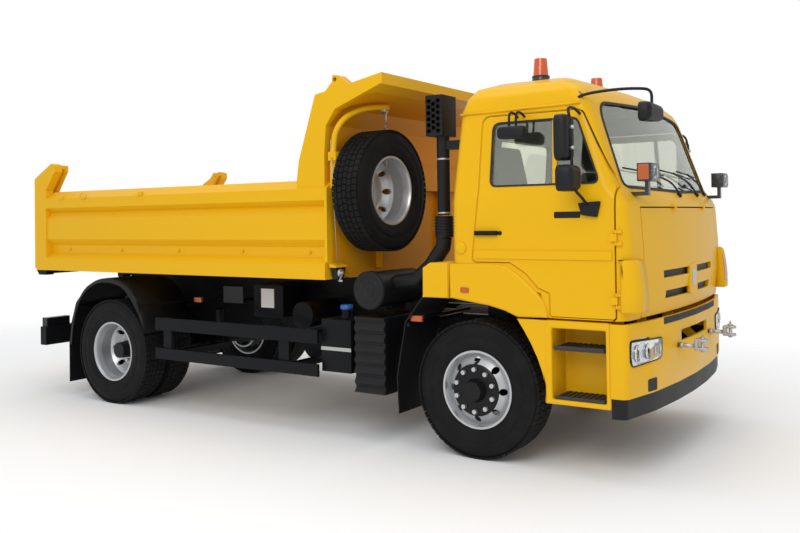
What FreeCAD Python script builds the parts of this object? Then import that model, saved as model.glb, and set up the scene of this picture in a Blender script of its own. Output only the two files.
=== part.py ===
import FreeCAD, Part
import math
import os

# Two-axle tipper lorry with a tilting cab, in millimetres.
# Everything is written with x = 0 over the front axle, x forward, y to the lorry's
# left and z = 0 on the ground; each piece moves along x on export, so that the
# origin lies under the middle of the lorry. Boxes are (x0, x1, y0, y1, z0, z1).
# The cab's skin (walls, doors, panes and front panel cut from one curved body)
# takes the most skill here.

V = FreeCAD.Vector
AXES = {"x": V(1, 0, 0), "y": V(0, 1, 0), "z": V(0, 0, 1)}
ORIGIN = V(0, 0, 0)

# Whole lorry
FRONT_END = 1560
REAR_END = -5540
ORIGIN_SHIFT = -(FRONT_END + REAR_END) / 2
OVER = 60
RUN_FIT = 0.05
SKIN_GAP = 0.3
CLEAR = 6

# Wheels
AXLE_Z = 525
REAR_X = -4200
FRONT_TYRE_Y = 1020
OUTER_TYRE_Y = 1105
INNER_TYRE_Y = 785
TYRE_OUTER = ((-105, 286), (-140, 375), (-133, 465), (-108, 525), (108, 525), (133, 465),
              (140, 375), (105, 286))
TYRE_INNER = ((88, 286), (118, 380), (92, 502), (-92, 502), (-118, 380), (-88, 286))
RIM_PROFILE = ((-119, 298), (-119, 282), (-98, 276), (-55, 262), (50, 262), (86, 270), (104, 275),
               (119, 282), (119, 298), (110.5, 298), (105, 286), (-105, 286), (-110.5, 298))
FRONT_DISC = ((60, 266), (92, 236), (128, 196), (136, 180), (136, 60), (124, 60), (124, 186),
              (112, 206), (80, 244), (48, 266))
REAR_DISC = ((-52, 266), (-84, 236), (-136, 196), (-148, 180), (-148, 60), (-160, 60),
             (-160, 186), (-146, 206), (-98, 244), (-66, 266))
DISC_OVER = 170
HAND_HOLES = 8
HAND_HOLE_R = 26
HAND_HOLE_AT = 222
NUTS = 10
NUT_PITCH_R = 160
NUT_R = 17
NUT_LONG = 28

# Steering
KINGPIN_Y = 860
KINGPIN_R = 25
BOSS_R = 45
BOSS_Z = (455, 595)
EAR_LOW_Z = (410, 449)
EAR_HIGH_Z = (601, 640)
KNUCKLE_PLATE_Y = (912, 936)
KNUCKLE_PLATE_X = 60
SPINDLE_R = 44.95
SPINDLE_END = 1128
ARM_TIP = (-200, 860)
ARM_R = 32
ARM_Z = (410, 440)
BALL_R = 15
BALL_Z = (372, 410)
TIE_Z = (378, 404)
TIE_EYE_R = 30
TIE_ROD_R = 16
BEAM_HALF = 45
BEAM_Z = (445, 520)
BEAM_FLAT_Y = 560

# Front hub, measured outwards from the wheel's middle plane
FRONT_HUB = (-78, 124, 68)
FRONT_FLANGE = (110, 124, 178)
FRONT_BORE_END = 112
FRONT_CAP = (136, 192, 90, 72)
FRONT_DRUM = (-108, -8, 205)
DRUM_WALL = 14

# Rear axle and hub
REAR_SPINDLE_R = 54.95
REAR_SPINDLE_END = 1075
REAR_BEAM_R = 72
REAR_BEAM_Y = 590
DIFF_R = 195
DIFF_Y = 150
DIFF_NOSE = (-4010, -3900, 95)
REAR_HUB = (640, 957, 88)
REAR_BORE_END = 1082
REAR_FLANGE = (919, 933, 178)
REAR_CAP = (957, 1150, 92, 78)
REAR_DRUM = (600, 760, 205)
REAR_SEAT = (-4260, -4140, 405, 475, 525, 600)

# Frame and tipper subframe
RAIL_X = (-5100, 960)
RAIL_OUT = 400
RAIL_WEB = 8
RAIL_FLANGE_Y = 325
RAIL_Z = (750, 1000)
CROSS_X = (-4640, -3300, -2300, -1350)
CROSS_LONG = 60
CROSS_Z = (870, 1000)
FRONT_CROSS = (1100, 1160, -374, 374, 742, 790)
REAR_PLATE = (-5108, -5092, -400, 400, 760, 1000)
HITCH_HOLE_R = 10.5
HITCH_HALF_Y = 80
HITCH_HALF_Z = 50
HITCH_Z = 880
SUBFRAME = (-5100, -1360, 320, 400, 1000, 1110)
TIP_PIVOT = (-5060, 1240)
PIVOT_R = 25
PIVOT_BRACKET = (-5105, -4990, 394, 426, 1000, 1240)
PIVOT_EYE_R = 50
HOIST_BASE = (-3706.5, 720)
HOIST_EYE = (-3611.2, 1300)
HOIST_PLATE = (-3780, -3630, 376, 392, 675, 900)
CAB_PIVOT = (1265, 800)
CAB_PIN_R = 20
CAB_PIN_Y = (322, 392)
CAB_BRACKET = (900, 1312, 374, 392, 742, 858)
BUMPER_STUB = (1200, 1312, 392, 452, 842, 908)
CAB_REST = (-150, -60, 330, 475, 1000, 1090)

# Engine, gearbox, shaft and radiator
ENGINE = (-350, 650, -300, 300, 620, 1280)
ENGINE_MOUNT = (0, 90, 300, 392, 860, 930)
FAN = (650, 820, 0, 900, 60)
RADIATOR = (860, 940, -325, 325, 760, 1250)
RADIATOR_FOOT = (880, 930, 325, 392, 860, 930)
FAN_SHROUD = (790, 860, -325, 325, 760, 1250)
GEARBOX = ((-350, 230), (-800, 190), (-1150, 120))
GEARBOX_Z = 800
SHAFT_R = 45

# Leaf springs
SPRING_Y = (405, 475)
LEAF_THIN = 18
LEAF_CLAMP = 65
LEAF_HANGER = 22
LEAF_STEP_SHARE = 0.55
FRONT_SPRING = (780, 520, 600, 640, 860)
REAR_SPRING = (720, 600, 690, 720, 900)

# Hoist, measured along its own line from the base pin
BARREL = (40, 520, 82, 70.05)
STAGE_1 = (62, 530, 70, 58.05)
STAGE_2 = (70, 540, 58, 46.05)
HOIST_ROD = (80, 556, 46)
HOIST_EYE_OUT = 40
HOIST_EYE_SLOT = 34
HOIST_EYE_BORE = 28
HOIST_EYE_HALF = 35
HOIST_PIN_R = 24
BARREL_BASE = 16

# Bumper, steps and tow forks
BUMPER_BOW = ((1222, 1250), (1300, 870), (1338, 430), (1350, 0))
BUMPER_BACK = 1110
BUMPER_CORNER_R = 60
BUMPER_BOW_R = 2000
BUMPER_ARM = (1200, 1345, 452, 500, 842, 908)
BUMPER_Z = (590, 1095)
BUMPER_WALL = 22
HEADLAMP = (930, 1205, 820, 985, 30)
HEADLAMP_DEPTH = (12, 90)
BUMPER_SLOT = (-360, 360, 885, 968, 15)
FORK_SLOT = (395, 455, 845, 880, 12)
VALANCE = (14, 30, 450, 590)
SKIRT = (620, 1110, 950, 1250, 509, 1100)
SKIRT_POCKET = (676, 1077, 1000, 1310, 545, 1045)
SKIRT_ARM = (900, 960, 400, 950, 770, 850)
TREADS = ((690, 1063, 1000, 1235, 890, 914), (690, 1063, 1000, 1235, 545, 560))
FORK_STEM = (1312, 1480, 405, 445, 848, 876)
FORK_CHEEKS = ((1470, 1560, 395, 455, 895, 915), (1470, 1560, 395, 455, 835, 855))
FORK_PIN = (1515, 425, 14, 820, 930)
FORK_BACK = 15

# Things hung on the frame
BATTERY = (-1146, -835, -1150, -600, 400, 1030)
BATTERY_ARM = (-1050, -930, -600, -400, 780, 860)
UREA = (-1510, -1193, -1150, -720, 543, 989)
UREA_ARM = (-1400, -1300, -720, -400, 780, 860)
UREA_CAP = (-1350, -1000, 45, 989, 1069)
HATCH_BOX = (-2684, -2301, -760, -470, 910, 1219)
HATCH_ARM = (-2540, -2440, -470, -400, 915, 985)
FUEL_TANK = (-2200, -1200, 560, 1150, 450, 1030, 90)
FUEL_ARMS = ((-2050, -1970, 400, 560, 780, 860), (-1430, -1350, 400, 560, 780, 860))
AIR_TANKS = ((-1984, 960, 125), (-1850, 700, 125))
AIR_TANK_Y = (-850, -440)
AIR_TANK_ARM = (40, -440, -400, 30)
SILENCER = (-1130, -700, 560, 1000, 520, 900, 120)
SILENCER_ARM = (-960, -860, 400, 560, 770, 830)
GUARD_RAILS = ((-3570, -1511, 1180, 1205, 780, 900), (-3570, -1511, 1180, 1205, 500, 605))
GUARD_POSTS = ((-3478, -3370), (-1975, -1858))
GUARD_POST_Y = (1150, 1180)
GUARD_ARM_Z = (520, 570)
GUARD_HANGER_Y = (376, 400)
GUARD_INSET = 15
LEFT_GUARD_X = (-3570, -2260)
LEFT_GUARD_POSTS = ((-3478, -3370), (-2400, -2300))
MUDGUARD = ((-4880, 560), (-4850, 790), (-4770, 1000), (-4580, 1180), (-4278, 1262), (-3990, 1205),
            (-3780, 1010), (-3690, 735))
MUDGUARD_R = 120
MUDGUARD_THICK = 8
MUDGUARD_Y = (640, 1240)
MUDGUARD_ARMS = ((-4800, -4760, 400, 1200, 930, 965), (-3800, -3764, 400, 1200, 930, 965))
REAR_FLAP = (-4890, -4880, 680, 1240, 160, 600)
FRONT_FLAP = ((-392, 1232), (-565, 1019), (-650, 583), (-636, 297), (-644, 297), (-662, 583),
              (-575, 1025), (-400, 1240))
FRONT_FLAP_Y = (750, 1250)
FRONT_FLAP_ARM = (-570, -540, 400, 1240, 985, 1015)
UNDERRUN = (-5540, -5440, -1150, 1150, 493, 693)
UNDERRUN_ARM = ((-4990, 750), (-5090, 750), (-5440, 640), (-5440, 520), (-5060, 600))
UNDERRUN_ARM_Y = (376, 400)
TAIL_LAMP = (-5535, -5450, 850, 1130, 693, 790)
FILTER = (-980, 1250, 150, -1130, -550)
FILTER_LID = (-1175, -1130, 158)
FILTER_ARM = (-1010, -950, -600, -400, 1000, 1130)
FILTER_POST = (-1010, -950, -440, -400, 900, 1000)
INTAKE_Y = -970
ELBOW = ((-370, 1680), (-385, 1600), (-500, 1450), (-640, 1335), (-830, 1310))
ELBOW_R = 62
BELLOWS = (-370, 1680, 1852, 72, 56)

# Cab skin: height, front at the middle, half width, rear
CAB_LEVELS = ((1115, 1305, 1230, -163), (1350, 1335, 1230, -163), (1600, 1335, 1230, -163),
              (1900, 1315, 1230, -163), (1960, 1288, 1230, -163), (2050, 1220, 1215, -160),
              (2650, 1007, 1150, -115), (2740, 955, 1130, -80), (2820, 860, 1060, -30),
              (2880, 700, 850, 50))
CAB_FLOOR_TOP = 1340
CAB_CEILING = 2835
CAB_BOW_R = 8000
CAB_FRONT_R = 90
CAB_REAR_R = 90
CAB_WALL = 45
DOOR_WALL = 38
GLASS_DEPTH = (-10, -16)
UNDER_FLOOR = 1300
SILL_Y = 1180
BULKHEAD = (1095, 1125)
SHELF_Z = (1930, 1960)
ARCH_X = 600
ARCH_FLOOR = (1470, 1500)
TUNNEL = (-400, 1095, 420, 1520, 30)
CAB_ARM = ((1284, 823), (1062, 1010), (1062, 1520), (1002, 1520), (1002, 968), (1246, 777))
CAB_ARM_Y = (330, 366)
CAB_EYE_R = 38
REST_PAD = (-150, -60, 425, 475, 1098, 1470)

# Front panel under the windscreen
PANEL = (990, 1120, 1886)
PANEL_THICK = 28
PANEL_GAP = 10
PANEL_PIVOT = (1326, 1902)
PANEL_EYE_R = 8
PANEL_PIN_R = 4
PANEL_EYES = (380, 420)
PANEL_TAB = (5, 34, 40, 18)
PANEL_LUGS = ((360, 374), (426, 440))
PANEL_POCKET_X = 1125
LUG_ROOT = 40
GRILLE_SLOTS = ((660, 1376, 1431), (600, 1222, 1280))

# Doors, x and z outline of the right one
DOOR = ((36, 1505), (350, 1505), (480, 1425), (575, 1325), (665, 1290), (665, 1127), (1146, 1127),
        (1148, 1980), (1146, 2035), (892, 2588), (108, 2588), (94, 2000))
DOOR_R = (30, 60, 60, 40, 20, 20, 20, 0, 25, 60, 60, 0)
DOOR_GAP = 12
DOOR_SPAN = (1103, 1300)
DOOR_LIP = 9
DOOR_PIVOT = (1162, 1246)
DOOR_PIN_R = 4
DOOR_EYE_R = 8
DOOR_ROOT_Y = 1206
DOOR_STRAP_Y = (1240, 1252)
DOOR_ROOT_X = (1120, 1148)
DOOR_HINGES = (1230, 1660)
DOOR_EYE_LONG = 50
DOOR_LUG_LONG = 22
DOOR_LUG_GAP = 6
DOOR_WINDOW = ((187, 2066), (1040, 2066), (862, 2535), (195, 2535))
DOOR_WINDOW_R = (50, 40, 70, 60)
HANDLE = (66, 252, 1222, 1256, 1702, 1736)
RUB_STRIP = (60, 1130, 1215, 1240, 1530, 1590)

# Other panes, y and z outlines
WINDSCREEN = ((-1050, 2040), (0, 2015), (1050, 2040), (985, 2655), (0, 2700), (-985, 2655))
WINDSCREEN_R = (70, 0, 70, 170, 0, 170)
WINDSCREEN_BACK = 705
REAR_WINDOW = ((-500, 2100), (500, 2100), (500, 2480), (-500, 2480))
REAR_WINDOW_R = 60

# Cab fittings
FENDER = ((-163, 1240), (-163, 1490), (276, 1463), (516, 1310), (590, 1288), (646, 1114),
          (430, 1108), (313, 1208), (19, 1241))
FENDER_Y = (620, 1250)
REAR_FENDER = ((-402, 1225), (-400, 1450), (-330, 1492), (-178, 1490), (-178, 1238))
DASHBOARD = ((820, 1620), (860, 1860), (1095, 1930), (1095, 1560))
DASHBOARD_R = (30, 40, 0, 0)
DASHBOARD_Y = 1090
WHEEL_AT = (800, 620, 1870)
WHEEL_R = 225
WHEEL_RIM_R = 16
WHEEL_TILT = 25
COLUMN_R = 32
COLUMN_LONG = 260
SEATS = (665, -665)
SEAT_BASE = (120, 560, 200, 1500, 1580)
SEAT_CUSHION = (60, 620, 250, 1580, 1730)
SEAT_BACK = ((60, 1730), (190, 1730), (40, 2400), (-70, 2400))
SEAT_BACK_R = (20, 40, 40, 40)
BEACONS = (-600, 600)
BEACON_X = 327
BEACON_FOOT = (70, 2860, 2945)
BEACON_DOME = (62, 50, 2945, 3092)
WORK_LAMPS = ((-1085, -905, -995), (905, 1085, 995))
WORK_LAMP_BOX = (1262, 1362, 2070, 2195)
WORK_LAMP_FOOT = (1100, 1322, 25, 1972, 2000)
WORK_LAMP_POST = (1296, 1322, 25, 2000, 2070)
SNORKEL_HEAD = (-470, -318, -1070, -850, 2490, 2816)
SNORKEL_TUBE = (-370, 1858, 2490, 52)
SNORKEL_BRACKET = (-320, -60, -1010, -930, 2380, 2450)
WIPERS = ((-235, -700), (292, -230), (672, 200))
WIPER_Z = 1990
WIPER_R = 9
DOOR_MIRROR = (830, 920, 1335, 1505, 2215, 2530)
WIDE_MIRROR = (845, 975, 1320, 1520, 2005, 2185)
MIRROR_R = 25
MIRROR_STEM = ((880, 1138, 2556), (900, 1400, 2570), (905, 1420, 2500), (905, 1420, 2090),
               (950, 1400, 2050), (1092, 1196, 2042))
FRONT_MIRROR = (1290, 1380, -1130, -800, 2480, 2620)
FRONT_MIRROR_ARM = ((780, -1080, 2650), (900, -1190, 2700), (1250, -1080, 2720), (1335, -960, 2690),
                    (1335, -960, 2600))
KERB_MIRROR = (310, 535, -1350, -1250, 2400, 2490)
KERB_ARM = ((420, -1136, 2560), (420, -1300, 2590), (420, -1300, 2480))
ARM_TUBE_R = 12

# Tipping body
TUB_X = (-5280, -1380)
TUB_SIDE = ((1120, 1392), (1120, 2176), (1135, 2176), (1250, 2100), (1250, 2000), (1182, 1955),
            (1235, 1870), (1235, 1665), (1172, 1600), (1172, 1515), (1250, 1460), (1250, 1330), (1120, 1330))
TUB_FLOOR_Z = (1392, 1400)
TUB_BEAMS_X = (-5200, -4880, -4480, -4080, -3780, -3440, -3040, -2640, -2240, -1840, -1440)
TUB_BEAM_LONG = 80
TUB_BEAM_Z = (1330, 1392)
TUB_LONG = (-4960, -1400, 325, 395, 1110.5, 1330)
EYE_BRACKET = (-3680, -3545, 250, 325, 1255, 1330)
TUB_EAR = (-5105, -4960, 1240, 1392)
TUB_EARS_Y = ((356, 388), (432, 464))
TUB_PIN_Y = (356, 464)
POST = ((-5474, 1360), (-5400, 1278), (-5274, 1278), (-5274, 2190), (-5110, 2390), (-5110, 2460),
        (-5170, 2480), (-5440, 2340), (-5474, 2320))
POST_Y = (1160, 1250)
GATE_PIVOT = (-5145, 2430)
GATE_PIN_R = 16
GATE_PIN_Y = (1070, 1165)
GATE = (-5365, -5288, -1148, 1148, 1290, 2160)
GATE_RIBS_Z = (1330, 1600, 1880, 2090)
GATE_RIB = (-5410, 70)
GATE_ARM = ((-5365, 2160), (-5300, 2160), (-5120, 2400), (-5120, 2460), (-5180, 2465), (-5365, 2240))
GATE_ARM_Y = (1078, 1110)
HEADBOARD_X = (-1380, -1352)
HEADBOARD = ((-930, 1330), (930, 1330), (1250, 1480), (1250, 2100), (1135, 2176), (1135, 2300),
             (-1135, 2300), (-1135, 2176), (-1250, 2100), (-1250, 1480))
HEAD_POSTS = ((-560, -480), (480, 560))
HEAD_POST_X = (-1352, -1284)
HEAD_POST_Z = (1400, 2330)
HEAD_BEAM = (-1352, -1284, -1200, 1200, 2100, 2330)
CHEEK = ((-1691, 2176), (-1665, 2343), (-1478, 2896), (-1365, 2915), (-1292, 2986), (-1285, 3045),
         (-1225, 3035), (-1122, 2954), (-783, 3016), (-784, 2930), (-1263, 2759), (-1364, 2625),
         (-1384, 2380), (-1384, 2100), (-1691, 2100))
CHEEK_Y = (1135, 1235)
CHEEK_HOLE = (-1262, 3005, 20)
CANOPY = ((-1380, 2178), (-1380, 2640), (-1280, 2775), (-790, 2945), (-790, 2957), (-1286, 2788),
          (-1392, 2648), (-1392, 2178))
CANOPY_LIP = (-790, -778, -1235, 1235, 2925, 3016)
SPARE_AT = (-782, 2077)
SPARE_X = -1124
DAVIT = ((-1300, -1215, 2350), (-1260, -1260, 2600), (-1100, -1080, 2790), (-1050, -800, 2800))
DAVIT_R = 24
DAVIT_FOOT = (-1340, -1262, -1235, -1180, 2330, 2400)
HOOK = (-1050, -800, 2640, 2800, 8)
DEFLECTOR = ((1190, 1185), (1400, 1175), (1395, 1300), (1350, 1530), (1190, 1540))
DEFLECTOR_Y = (1120, 1262)
ARCH_CUT = ((-223, 1490), (-163, 1490), (276, 1463), (516, 1310), (590, 1288), (646, 1114),
            (646, 1000), (-223, 1000))


def point(axis, along, a, b):
    """A point from its place along one axis and its two other coordinates, in x, y, z order."""
    if axis == "x":
        return V(along, a, b)
    if axis == "y":
        return V(a, along, b)
    return V(a, b, along)


def box(x0, x1, y0, y1, z0, z1):
    return Part.makeBox(x1 - x0, y1 - y0, z1 - z0, V(x0, y0, z0))


def rod(axis, start, end, a, b, radius):
    return Part.makeCylinder(radius, end - start, point(axis, start, a, b), AXES[axis])


def bore(axis, start, end, a, b, radius):
    """A cutter that runs out past both ends."""
    return rod(axis, start - OVER, end + OVER, a, b, radius)


def cone(axis, start, end, a, b, radius_0, radius_1):
    return Part.makeCone(radius_0, radius_1, end - start, point(axis, start, a, b), AXES[axis])


def outline(points, radii, place):
    """A closed wire through 2-D points, each corner rounded by its radius (zero: sharp)."""
    count = len(points)
    if not isinstance(radii, (tuple, list)):
        radii = [radii] * count
    corners = []
    for i, (u, v) in enumerate(points):
        if radii[i] == 0:
            corners.append(((u, v),))
            continue
        back_u, back_v = points[i - 1][0] - u, points[i - 1][1] - v
        next_u, next_v = points[(i + 1) % count][0] - u, points[(i + 1) % count][1] - v
        back = math.hypot(back_u, back_v)
        ahead = math.hypot(next_u, next_v)
        back_u, back_v = back_u / back, back_v / back
        next_u, next_v = next_u / ahead, next_v / ahead
        half = math.acos(back_u * next_u + back_v * next_v) / 2
        run = radii[i] / math.tan(half)
        mid_u, mid_v = back_u + next_u, back_v + next_v
        mid = math.hypot(mid_u, mid_v)
        reach = (radii[i] / math.sin(half) - radii[i]) / mid
        corners.append(((u + back_u * run, v + back_v * run),
                        (u + mid_u * reach, v + mid_v * reach),
                        (u + next_u * run, v + next_v * run)))
    edges = []
    for i, corner in enumerate(corners):
        if len(corner) == 3:
            edges.append(Part.Arc(*[place(*p) for p in corner]).toShape())
        start = place(*corner[-1])
        end = place(*corners[(i + 1) % count][0])
        if start.distanceToPoint(end) > RUN_FIT:
            edges.append(Part.makeLine(start, end))
    return Part.Wire(edges)


def prism(axis, start, end, points, radii=0):
    """An outline in the plane across an axis, pushed along it."""
    wire = outline(points, radii, lambda u, v: point(axis, start, u, v))
    return Part.Face(wire).extrude(AXES[axis] * (end - start))


def turned(points, y, sign=1):
    """A ring about the axis along y through the origin, from (offset, radius) points."""
    wire = Part.makePolygon([V(0, y + sign * u, r) for u, r in list(points) + [points[0]]])
    return Part.Face(wire).revolve(ORIGIN, AXES["y"], 360)


def fuse(*shapes):
    if len(shapes) == 1:
        return shapes[0]
    return shapes[0].fuse(list(shapes[1:])).removeSplitter()


def cut(shape, *tools):
    return shape.cut(list(tools))


def mirrored(shape):
    return shape.mirror(ORIGIN, AXES["y"])


def both(shape):
    """The piece and its twin on the other side."""
    return [shape, mirrored(shape)]


def moved(shape, x, y, z):
    return shape.translated(V(x, y, z))


def pipe(points, radius):
    """A round tube along a run of points, with ball corners."""
    parts = []
    for start, end in zip(points, points[1:]):
        a, b = V(*start), V(*end)
        parts.append(Part.makeCylinder(radius, a.distanceToPoint(b), a, b - a))
        parts.append(Part.makeSphere(radius, b))
    return fuse(*parts)


def pattern(count, at, first_turn=0):
    """Centres of a ring of holes or nuts, as two coordinates across the axis."""
    steps = [first_turn + 2 * math.pi * i / count for i in range(count)]
    return [(at * math.cos(t), at * math.sin(t)) for t in steps]


def save(name, *shapes):
    solids = [solid for shape in shapes for solid in shape.Solids]
    piece = solids[0] if len(solids) == 1 else Part.makeCompound(solids)
    piece.translated(V(ORIGIN_SHIFT, 0, 0)).exportStep("parts/" + name + ".step")


# Wheels and hubs

def tyre(y):
    ring = cut(turned(TYRE_OUTER, y), turned(TYRE_INNER, y))
    return ring


def wheel(y, disc, sign):
    """A rim with its disc and hand holes; sign gives the side the disc faces."""
    body = fuse(turned(RIM_PROFILE, y, sign), turned(disc, y, sign))
    holes = [bore("y", y - DISC_OVER, y + DISC_OVER, a, b, HAND_HOLE_R)
             for a, b in pattern(HAND_HOLES, HAND_HOLE_AT)]
    return cut(body, *holes)


def nuts(y0, y1):
    return [rod("y", y0, y1, a, b, NUT_R) for a, b in pattern(NUTS, NUT_PITCH_R, math.pi / NUTS)]


def drum(y0, y1, radius, inner):
    ring = cut(rod("y", y0, y1, 0, 0, radius), rod("y", y0 - OVER, y1 - DRUM_WALL, 0, 0, radius - DRUM_WALL))
    return cut(ring, bore("y", y0, y1, 0, 0, inner))


def front_rim():
    y = FRONT_TYRE_Y
    hub = rod("y", y + FRONT_HUB[0], y + FRONT_HUB[1], 0, 0, FRONT_HUB[2])
    flange = rod("y", y + FRONT_FLANGE[0], y + FRONT_FLANGE[1], 0, 0, FRONT_FLANGE[2])
    cap = cone("y", y + FRONT_CAP[0], y + FRONT_CAP[1], 0, 0, FRONT_CAP[2], FRONT_CAP[3])
    filler = rod("y", y + FRONT_HUB[1], y + FRONT_CAP[0], 0, 0, FRONT_HUB[2])
    brake = drum(y + FRONT_DRUM[0], y + FRONT_DRUM[1], FRONT_DRUM[2], FRONT_HUB[2] - DRUM_WALL)
    studs = nuts(y + FRONT_CAP[0], y + FRONT_CAP[0] + NUT_LONG)
    body = fuse(wheel(y, FRONT_DISC, 1), hub, flange, cap, filler, brake, *studs)
    return cut(body, rod("y", y + FRONT_HUB[0] - OVER, y + FRONT_BORE_END, 0, 0, SPINDLE_R + RUN_FIT))


def rear_rims():
    hub = rod("y", REAR_HUB[0], REAR_HUB[1], 0, 0, REAR_HUB[2])
    flange = rod("y", REAR_FLANGE[0], REAR_FLANGE[1], 0, 0, REAR_FLANGE[2])
    cap = cone("y", REAR_CAP[0], REAR_CAP[1], 0, 0, REAR_CAP[2], REAR_CAP[3])
    brake = drum(REAR_DRUM[0], REAR_DRUM[1], REAR_DRUM[2], REAR_HUB[2] - DRUM_WALL)
    studs = nuts(REAR_CAP[0], REAR_CAP[0] + NUT_LONG)
    outer = wheel(OUTER_TYRE_Y, REAR_DISC, 1)
    inner = wheel(INNER_TYRE_Y, REAR_DISC, -1)
    body = fuse(outer, inner, hub, flange, cap, brake, *studs)
    return cut(body, rod("y", REAR_HUB[0] - OVER, REAR_BORE_END, 0, 0, REAR_SPINDLE_R + RUN_FIT))


def save_wheels():
    front_tyre = moved(tyre(FRONT_TYRE_Y), 0, 0, AXLE_Z)
    front = moved(front_rim(), 0, 0, AXLE_Z)
    rear_tyres = [moved(tyre(y), REAR_X, 0, AXLE_Z) for y in (OUTER_TYRE_Y, INNER_TYRE_Y)]
    rear = moved(rear_rims(), REAR_X, 0, AXLE_Z)
    save("tyre_front_left", front_tyre)
    save("tyre_front_right", mirrored(front_tyre))
    save("rim_front_left", front)
    save("rim_front_right", mirrored(front))
    save("tyres_rear_left", *rear_tyres)
    save("tyres_rear_right", *[mirrored(t) for t in rear_tyres])
    save("rims_rear_left", rear)
    save("rims_rear_right", mirrored(rear))


# Steering and axles

def knuckle():
    ears = [rod("z", z0, z1, 0, KINGPIN_Y, BOSS_R) for z0, z1 in (EAR_LOW_Z, EAR_HIGH_Z)]
    webs = [box(-BOSS_R, BOSS_R, KINGPIN_Y, KNUCKLE_PLATE_Y[1], z0, z1)
            for z0, z1 in (EAR_LOW_Z, EAR_HIGH_Z)]
    plate = box(-KNUCKLE_PLATE_X, KNUCKLE_PLATE_X, *KNUCKLE_PLATE_Y, EAR_LOW_Z[0], EAR_HIGH_Z[1])
    pin = rod("z", EAR_LOW_Z[0], EAR_HIGH_Z[1], 0, KINGPIN_Y, KINGPIN_R)
    spindle = rod("y", KNUCKLE_PLATE_Y[0], SPINDLE_END, 0, AXLE_Z, SPINDLE_R)
    arm = prism("z", *ARM_Z, ((0, KINGPIN_Y - ARM_R), (0, KINGPIN_Y + ARM_R),
                              (ARM_TIP[0], ARM_TIP[1] + ARM_R), (ARM_TIP[0], ARM_TIP[1] - ARM_R)))
    arm_end = rod("z", *ARM_Z, *ARM_TIP, ARM_R)
    ball = rod("z", *BALL_Z, *ARM_TIP, BALL_R)
    return fuse(*ears, *webs, plate, pin, spindle, arm, arm_end, ball)


def tie_rod():
    x, y = ARM_TIP
    middle_z = (TIE_Z[0] + TIE_Z[1]) / 2
    eyes = [rod("z", *TIE_Z, x, side, TIE_EYE_R) for side in (y, -y)]
    bar = cut(rod("y", -y, y, x, middle_z, TIE_ROD_R - CLEAR),
              *[rod("z", *TIE_Z, x, side, TIE_EYE_R - CLEAR) for side in (y, -y)])
    body = fuse(*eyes, bar)
    return cut(body, *[bore("z", *TIE_Z, x, side, BALL_R + RUN_FIT) for side in (y, -y)])


def front_axle():
    bosses = [rod("z", *BOSS_Z, 0, side * KINGPIN_Y, BOSS_R) for side in (1, -1)]
    middle = box(-BEAM_HALF, BEAM_HALF, -BEAM_FLAT_Y, BEAM_FLAT_Y, *BEAM_Z)
    end = prism("x", -BEAM_HALF, BEAM_HALF, ((BEAM_FLAT_Y, BEAM_Z[0]), (BEAM_FLAT_Y, BEAM_Z[1]),
                                             (KINGPIN_Y, BOSS_Z[1]), (KINGPIN_Y, BOSS_Z[0])))
    body = fuse(middle, *both(end), *bosses)
    return cut(body, *[bore("z", *BOSS_Z, 0, side * KINGPIN_Y, KINGPIN_R + RUN_FIT) for side in (1, -1)])


def rear_axle():
    beam = rod("y", -REAR_BEAM_Y, REAR_BEAM_Y, REAR_X, AXLE_Z, REAR_BEAM_R)
    spindles = rod("y", -REAR_SPINDLE_END, REAR_SPINDLE_END, REAR_X, AXLE_Z, REAR_SPINDLE_R)
    housing = rod("y", -DIFF_Y, DIFF_Y, REAR_X, AXLE_Z, DIFF_R)
    nose = rod("x", DIFF_NOSE[0] - OVER, DIFF_NOSE[1], 0, AXLE_Z, DIFF_NOSE[2])
    seats = both(box(*REAR_SEAT))
    return fuse(beam, spindles, housing, nose, *seats)


def leaf_spring(x, half, seat_z, top_z, eye_z, hanger_top):
    """A pack of leaves as one bent bar, with a hanger at each end."""
    thin = LEAF_THIN
    pack = prism("y", *SPRING_Y, ((x - half, eye_z), (x - half, eye_z + thin), (x - LEAF_CLAMP, top_z),
                                  (x + LEAF_CLAMP, top_z), (x + half, eye_z + thin), (x + half, eye_z),
                                  (x + half * LEAF_STEP_SHARE, eye_z - thin), (x + LEAF_CLAMP, seat_z),
                                  (x - LEAF_CLAMP, seat_z), (x - half * LEAF_STEP_SHARE, eye_z - thin)))
    hangers = [box(x + end - LEAF_HANGER, x + end + LEAF_HANGER, RAIL_OUT, SPRING_Y[1], eye_z, hanger_top)
               for end in (-half, half)]
    return fuse(pack, *hangers)


def save_running_gear():
    left = knuckle()
    save("knuckle_left", left)
    save("knuckle_right", mirrored(left))
    save("tie_rod", tie_rod())
    save("front_axle", front_axle())
    save("rear_axle", rear_axle())
    springs = both(leaf_spring(0, *FRONT_SPRING)) + both(leaf_spring(REAR_X, *REAR_SPRING))
    save("leaf_springs", *springs)


# Frame and drive

def rail():
    web = box(*RAIL_X, RAIL_OUT - RAIL_WEB, RAIL_OUT, *RAIL_Z)
    low = box(*RAIL_X, RAIL_FLANGE_Y, RAIL_OUT, RAIL_Z[0], RAIL_Z[0] + RAIL_WEB)
    high = box(*RAIL_X, RAIL_FLANGE_Y, RAIL_OUT, RAIL_Z[1] - RAIL_WEB, RAIL_Z[1])
    return fuse(web, low, high)


def pivot_bracket():
    plate = box(*PIVOT_BRACKET)
    eye = rod("y", *PIVOT_BRACKET[2:4], *TIP_PIVOT, PIVOT_EYE_R)
    root = box(*PIVOT_BRACKET[0:2], SUBFRAME[2], *PIVOT_BRACKET[3:5], SUBFRAME[5])
    body = fuse(plate, eye, root)
    return cut(body, bore("y", *PIVOT_BRACKET[2:4], *TIP_PIVOT, PIVOT_R + RUN_FIT))


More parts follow.
